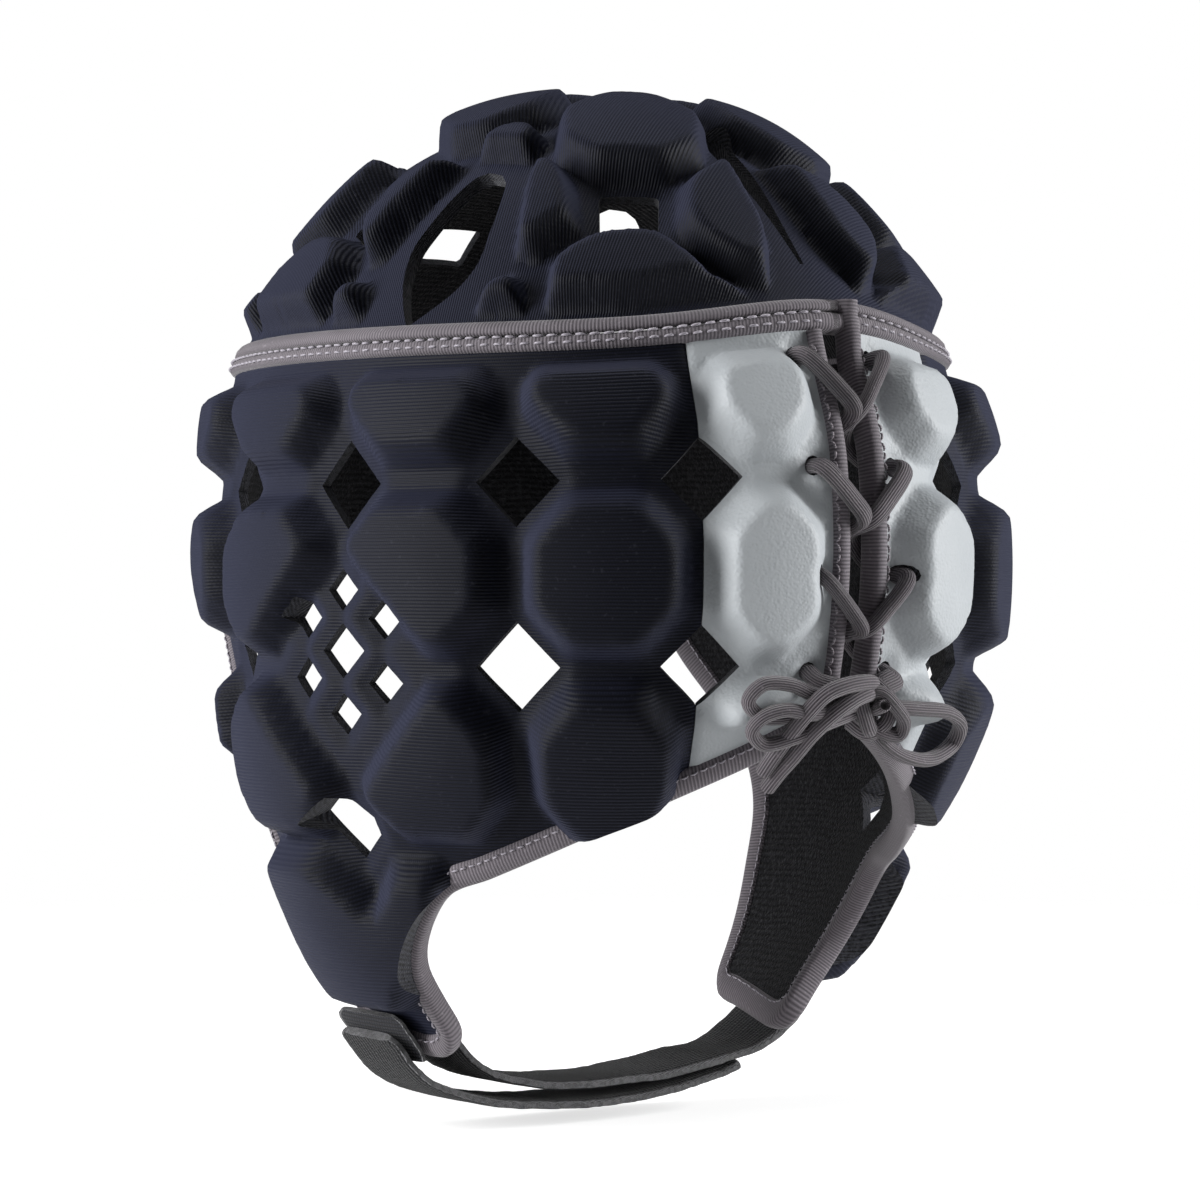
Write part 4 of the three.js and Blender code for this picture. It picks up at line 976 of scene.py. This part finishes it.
def lockstitches(name, places, place, offs, stitch, gap, thick, finish, sway=0.0, alternate=0.0):
    """A row of stitches along a line on the surface: each a short thread that dips in at both ends."""
    line = evenly(np.asarray(places, float), 0.35)
    out = np.asarray(place(line[:, 0], line[:, 1], offs + 1.0))
    on = np.asarray(place(line[:, 0], line[:, 1], offs))
    lean = unit(out - on)
    far = np.concatenate([[0], np.cumsum(np.linalg.norm(np.diff(on, axis=0), axis=1))])
    rng = np.random.default_rng(7)
    points, faces = [], []
    start, k = gap, 0
    while start + stitch < far[-1]:
        t = start + np.array([0, 0.2, 0.5, 0.8, 1.0]) * stitch
        c = np.stack([np.interp(t, far, on[:, i]) for i in range(3)], -1)
        n = unit(np.stack([np.interp(t, far, lean[:, i]) for i in range(3)], -1))
        run = unit(np.gradient(c, axis=0))
        across = unit(np.cross(run, n))
        c += n * (np.array([-0.25, 0.12, 0.24, 0.12, -0.25]) * thick * 2)[:, None]
        tilt = (alternate * (1 if k % 2 else -1) + rng.normal(0, sway)) * np.linspace(-1, 1, 5)
        c += across * tilt[:, None]
        size = thick / 2 * np.array([0.6, 1, 1.05, 1, 0.6])
        base = len(points) * 1
        turn = np.arange(6) * np.pi / 3
        for i in range(5):
            for a in turn:
                points.append(c[i] + (across[i] * math.cos(a) + n[i] * math.sin(a)) * size[i])
        for i in range(4):
            for j in range(6):
                m = (j + 1) % 6
                faces.append([base + i * 6 + j, base + i * 6 + m, base + (i + 1) * 6 + m, base + (i + 1) * 6 + j])
        faces += [[base + j for j in range(6)][::-1], [base + 24 + j for j in range(6)]]
        start += stitch + gap * (1 + rng.normal(0, 0.12))
        k += 1
    made = piece(name, points, faces, [finish])
    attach(made, "root")
    return made


def thread_finish(name, dark, light):
    finish = bpy.data.materials.new(name)
    finish.use_nodes = True
    tree = finish.node_tree
    shader = tree.nodes["Principled BSDF"]
    spot = tree.nodes.new("ShaderNodeTexCoord")
    twist = tree.nodes.new("ShaderNodeTexWave")
    twist.inputs["Scale"].default_value = 900
    twist.bands_direction = "DIAGONAL"
    link(tree, spot.outputs["Object"], twist.inputs["Vector"])
    link(tree, blended(tree, twist.outputs["Fac"], dark, light), shader.inputs["Base Color"])
    shader.inputs["Roughness"].default_value = 0.6
    shader.inputs["Sheen Weight"].default_value = 0.2
    bump = tree.nodes.new("ShaderNodeBump")
    bump.inputs["Distance"].default_value = 0.05 * MM
    link(tree, twist.outputs["Fac"], bump.inputs["Height"])
    link(tree, bump.outputs[0], shader.inputs["Normal"])
    return finish


pale_thread = thread_finish("pale lilac thread", (0.24, 0.22, 0.26), (0.46, 0.43, 0.48))
mauve_thread = thread_finish("mauve thread", (0.12, 0.105, 0.12), (0.3, 0.27, 0.3))
ring = np.arange(0, 360, 1.25)


def upright(way, s, off=0.0):
    """Places on the crown's lowest edge, where the tape stands level with the wall."""
    way, s, off = np.broadcast_arrays(*(np.asarray(v, float).ravel() for v in (way, s, off)))
    p = crown_plan(np.radians(way), s)
    a = np.arctan2(p[:, 0] / (half_width * ring_share), (p[:, 1] + ring_forward) / (half_length * ring_share))
    n = unit(np.stack([np.sin(a) / (half_width * ring_share), np.cos(a) / (half_length * ring_share), np.zeros_like(a)], -1))
    p = p + n * off[:, None]
    p[:, 2] -= head_seat
    return p


tape_low = -wall_thick - tape_proud + 0.5
crown_tape = folded_tape("crown_tape", np.stack([ring, np.full_like(ring, 1 - (seam_tape + piece_gap) / 95)], -1),
                         np.stack([ring, np.full_like(ring, 0.998)], -1), upright, tape_low, tape_proud, mauve_tape,
                         closed=True, belly=0.5)
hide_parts("crown_edge_tape")
places = length_at(ring)
side_tape = folded_tape("side_tape", np.stack([places, np.full_like(places, -seam_tape - 0.1)], -1),
                        np.stack([places, np.full_like(places, 0.3)], -1), wall, tape_low, tape_proud, mauve_tape,
                        closed=True, belly=0.35)
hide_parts("side_edge_tape")
open_ring = length_at(np.arange(1.5, 358.6, 0.5))
for name, z, off in (("upper", 0.1, tape_proud + 0.1), ("lower", -1.75, tape_proud + 0.3)):
    row_made = lockstitches(f"ring_stitches_{name}", np.stack([open_ring, np.full_like(open_ring, z)], -1), wall, off,
                            2.3, 0.9, 0.55, pale_thread, sway=0.05)
for sign, hand in ((1, "left"), (-1, "right")):
    top = -seam_tape - 0.2 if sign > 0 else 2.6
    zs = np.linspace(top, -79, 60)
    raise_top = np.where(zs > -4, 1.2, np.where(zs > -8, 1.2 * (zs + 8) / 4, 0)) if sign < 0 else np.zeros_like(zs)
    over = {round(float(z), 4): float(r) for z, r in zip(zs, raise_top)}

    def slit_place(u, z, off, over=over):
        extra = np.interp(-np.asarray(z, float), sorted(-k for k in over), [over[k] for k in sorted(over, reverse=True)])
        return wall(u, z, np.asarray(off, float) + extra)
    strip = folded_tape(f"slit_tape_{hand}", np.stack([np.full_like(zs, sign * (slit_half + lace_tape)), zs], -1),
                        np.stack([np.full_like(zs, sign * slit_half), zs], -1), slit_place, tape_low, tape_proud + 0.2,
                        mauve_tape, belly=0.6)
    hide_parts(f"lace_edge_tape_{hand}")
    zs = np.linspace(-6, -78, 80)
    chain = lockstitches(f"slit_stitches_{hand}", np.stack([np.full_like(zs, sign * (slit_half + lace_tape - 0.5)), zs], -1),
                         wall, tape_proud + 0.3, 1.9, 0.35, 0.55, mauve_thread, sway=0.04, alternate=0.35)

# Edge binding: the same ribbed tape, wider, folded round the foam from the foot of the slit along the neck, down
# and round each flap and across the brow, with a chain stitch along its inner border on both faces.
for sign, hand in ((1, "left"), (-1, "right")):
    run = rim_run[rim_run[:, 0] > slit_half]
    inner_line = drawn_in(run, binding_wide, calm=12)
    low_line = drawn_in(run, 0.15, calm=12)
    flip = np.array([sign, 1.0])
    strip = folded_tape(f"edge_binding_cloth_{hand}", inner_line * flip, low_line * flip, wall, tape_low, tape_proud - 0.2,
                        mauve_tape, belly=0.45)
    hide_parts(f"edge_binding_{hand}")
    border = drawn_in(run, binding_wide - 1.1, calm=12)[2:-1] * flip
    for where, off in (("outside", tape_proud + 0.1), ("inside", tape_low - 0.2)):
        chain = lockstitches(f"edge_stitches_{hand}_{where}", border, wall, off, 1.7, 0.55, 0.42, pale_thread,
                             sway=0.03, alternate=0.06)

# Chin strap: black webbing with a brushed pile face. The inner band is sewn inside the left flap and reaches to
# the right one; the outer band hangs from a webbing tab and presses onto it. Edges are heat cut and a bit fuzzy.
strap_wide, strap_thick, strap_y = 25.0, 2.4, -6.5


def across_chin(x, z):
    return np.array([x, z - head_seat])


def flap_place(u, z, off):
    p = wall(u, z, off)[0]
    return np.array([p[0], p[2]])


black_pile = cloth_finish("black brushed strap pile", (0.003, 0.003, 0.004), (0.011, 0.0115, 0.014), 1.3, 0.0, 0.3, 0.9,
                          0.12, waver=1.0, stitch=0.9, stitch_share=0.6, grain=1.8, lint=0.22)
webbing = cloth_finish("black strap webbing", (0.004, 0.004, 0.006), (0.016, 0.017, 0.023), 1.0, math.radians(90), 0.22,
                       0.7, 0.1, waver=0.1, stitch=1.1, stitch_share=0.5, grain=0.3)
frayed = cloth_finish("frayed strap edge", (0.02, 0.02, 0.023), (0.16, 0.16, 0.17), 0.7, math.radians(20), 0.3, 0.95,
                      0.3, waver=1.5, stitch=0.6, stitch_share=0.8, grain=2.0, lint=0.4)


def strap_band(name, line, wide, thick, face, edge, tip_start=0.0, tip_end=0.0, sag=0.25, seed=3):
    """A band of webbing in the plane across the chin, soft at its edges, with rounded ends where asked."""
    line = flowing_path(line, 1.2)
    run = unit(np.gradient(line, axis=0))
    n = np.stack([-run[:, 1], run[:, 0]], -1)
    far = np.concatenate([[0], np.cumsum(np.linalg.norm(np.diff(line, axis=0), axis=1))])
    v = np.array([-1, -0.97, -0.9, -0.78, -0.6, -0.4, -0.2, 0, 0.2, 0.4, 0.6, 0.78, 0.9, 0.97, 1])
    rng = np.random.default_rng(seed)
    ripple = np.convolve(rng.normal(0, 1, len(line) + 8), np.ones(9) / 9, "valid")
    wave = np.convolve(rng.normal(0, 1, len(line) + 8), np.ones(9) / 9, "valid")
    points, flat = [], []
    for i, p in enumerate(line):
        half = wide / 2
        for tip, d in ((tip_start, far[i]), (tip_end, far[-1] - far[i])):
            if tip and d < tip:
                half -= tip * (1 - math.sqrt(max(1 - (1 - d / tip) ** 2, 0)))
        for face_side in (1, -1):
            for t in v if face_side > 0 else v[::-1]:
                full = thick / 2 * (1 - 0.55 * abs(t) ** 6)
                bow = sag * (1 - t * t) * ripple[i] + 0.5 * t * wave[i] * abs(t)
                q = p + n[i] * (face_side * full + bow)
                points.append((q[0], strap_y + t * half, q[1]))
                flat.append((far[i], t * half + (0 if face_side > 0 else 60)))
    m = 2 * len(v)
    faces, slots = [], []
    for i in range(len(line) - 1):
        for k in range(m):
            j = (k + 1) % m
            faces.append([i * m + k, i * m + j, (i + 1) * m + j, (i + 1) * m + k])
            t = v[k] if k < len(v) else v[::-1][k - len(v)]
            slots.append(1 if abs(t) > 0.95 or k in (len(v) - 1, m - 1) else 0)
    faces += [[k for k in range(m)], [(len(line) - 1) * m + k for k in range(m)][::-1]]
    slots += [1, 1]
    made = piece(name, points, faces, [face, edge], slots, flat, sharp=60)
    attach(made, "root")
    return made


flap_middle = 152
inner_route = [flap_place(flap_middle, -138, -9.4), flap_place(flap_middle, -150, -10.4)] + [
    across_chin(x, z) for x, z in ((41, -161), (33, -167.2), (18, -171), (0, -172), (-18, -171.2), (-33, -169),
                                   (-45, -167), (-55.5, -161), (-62, -155))]
outer_route = [across_chin(x, z) for x, z in (
    (59.6, -157.4), (57.4, -160.2), (54.4, -164), (49, -168.6), (36, -173.3), (18, -176), (0, -176.6), (-18, -175.4),
    (-32, -173), (-41, -170.2))]
tab_route = [across_chin(x, z) for x, z in ((59.3, -152.4), (57.9, -155), (55.1, -158.4), (53.2, -161.3), (52.5, -162.9))]
inner_band = strap_band("strap_inner_band", inner_route, strap_wide, strap_thick, black_pile, frayed, tip_end=4.0, seed=5)
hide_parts("chin_strap_inner")
outer_band = strap_band("strap_outer_band", outer_route, strap_wide, strap_thick, black_pile, frayed, tip_start=2.0, tip_end=3.0, seed=9)
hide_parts("chin_strap_outer")
tab = strap_band("strap_tab", tab_route, strap_wide + 3, 1.6, webbing, frayed, tip_start=2.5, sag=0.1, seed=2)
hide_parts("strap_anchor")

# Studio: a plain white floor just under the strap, white all round, one large soft light high on the left of the
# camera, a second on the right and a low fill, so the pads show soft highlights and a faint shadow lies below.
floor_mesh = bpy.data.meshes.new("floor")
reach = 6.0
floor_z = (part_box("chin_strap_outer")[0].z) - 0.0035
floor_mesh.from_pydata([(-reach, -reach, floor_z), (reach, -reach, floor_z), (reach, reach, floor_z), (-reach, reach, floor_z)],
                       [], [(0, 1, 2, 3)])
floor = bpy.data.objects.new("floor", floor_mesh)
bpy.context.scene.collection.objects.link(floor)
paper = bpy.data.materials.new("white studio paper")
paper.use_nodes = True
shader = paper.node_tree.nodes["Principled BSDF"]
shader.inputs["Base Color"].default_value = (0.8, 0.8, 0.8, 1)
shader.inputs["Roughness"].default_value = 0.9
shader.inputs["Specular IOR Level"].default_value = 0.0
shader.inputs["Emission Color"].default_value = (1, 1, 1, 1)
paper_seen = paper.node_tree.nodes.new("ShaderNodeLightPath")
link(paper.node_tree, sums(paper.node_tree, "MULTIPLY_ADD", paper_seen.outputs["Is Camera Ray"], 0.55, 0.1),
     shader.inputs["Emission Strength"])
paper_place = paper.node_tree.nodes.new("ShaderNodeTexCoord")
paper_far = paper.node_tree.nodes.new("ShaderNodeVectorMath")
paper_far.operation = "LENGTH"
link(paper.node_tree, paper_place.outputs["Object"], paper_far.inputs[0])
paper_fade = paper.node_tree.nodes.new("ShaderNodeMapRange")
paper_fade.interpolation_type = "SMOOTHSTEP"
for key, value in (("From Min", 0.35), ("From Max", 0.75), ("To Min", 1.0), ("To Max", 0.0)):
    paper_fade.inputs[key].default_value = value
link(paper.node_tree, paper_far.outputs["Value"], paper_fade.inputs["Value"])
link(paper.node_tree, paper_fade.outputs[0], shader.inputs["Alpha"])
floor_mesh.materials.append(paper)
world = bpy.data.worlds.new("studio")
bpy.context.scene.world = world
world.use_nodes = True
ground = world.node_tree.nodes["Background"]
ground.inputs["Color"].default_value = (1, 1, 1, 1)
ground.inputs["Strength"].default_value = 0.075
seen = world.node_tree.nodes.new("ShaderNodeBackground")
seen.inputs["Color"].default_value = (1, 1, 1, 1)
seen.inputs["Strength"].default_value = 1.0
ray = world.node_tree.nodes.new("ShaderNodeLightPath")
either = world.node_tree.nodes.new("ShaderNodeMixShader")
link(world.node_tree, ray.outputs["Is Camera Ray"], either.inputs[0])
link(world.node_tree, ground.outputs[0], either.inputs[1])
link(world.node_tree, seen.outputs[0], either.inputs[2])
link(world.node_tree, either.outputs[0], world.node_tree.nodes["World Output"].inputs[0])
picture_right = Vector((math.cos(camera_azimuth), math.sin(camera_azimuth), 0))


def soft_light(name, toward_camera, to_right, up, wide, high, watts):
    light = bpy.data.objects.new(name, bpy.data.lights.new(name, "AREA"))
    light.data.shape = "RECTANGLE"
    light.data.size, light.data.size_y = wide, high
    light.data.energy = watts
    light.location = aim + back_of_lens * toward_camera + picture_right * to_right + Vector((0, 0, up))
    light.rotation_euler = (aim - light.location).to_track_quat("-Z", "Y").to_euler()
    bpy.context.scene.collection.objects.link(light)


soft_light("key", 0.38, -0.95, 0.2, 0.4, 0.8, 16)
soft_light("side", 0.1, 0.98, 0.2, 0.35, 0.8, 13)
soft_light("top", 0.0, -0.05, 1.0, 0.6, 0.4, 2.5)
bpy.context.scene.view_settings.view_transform = "Standard"
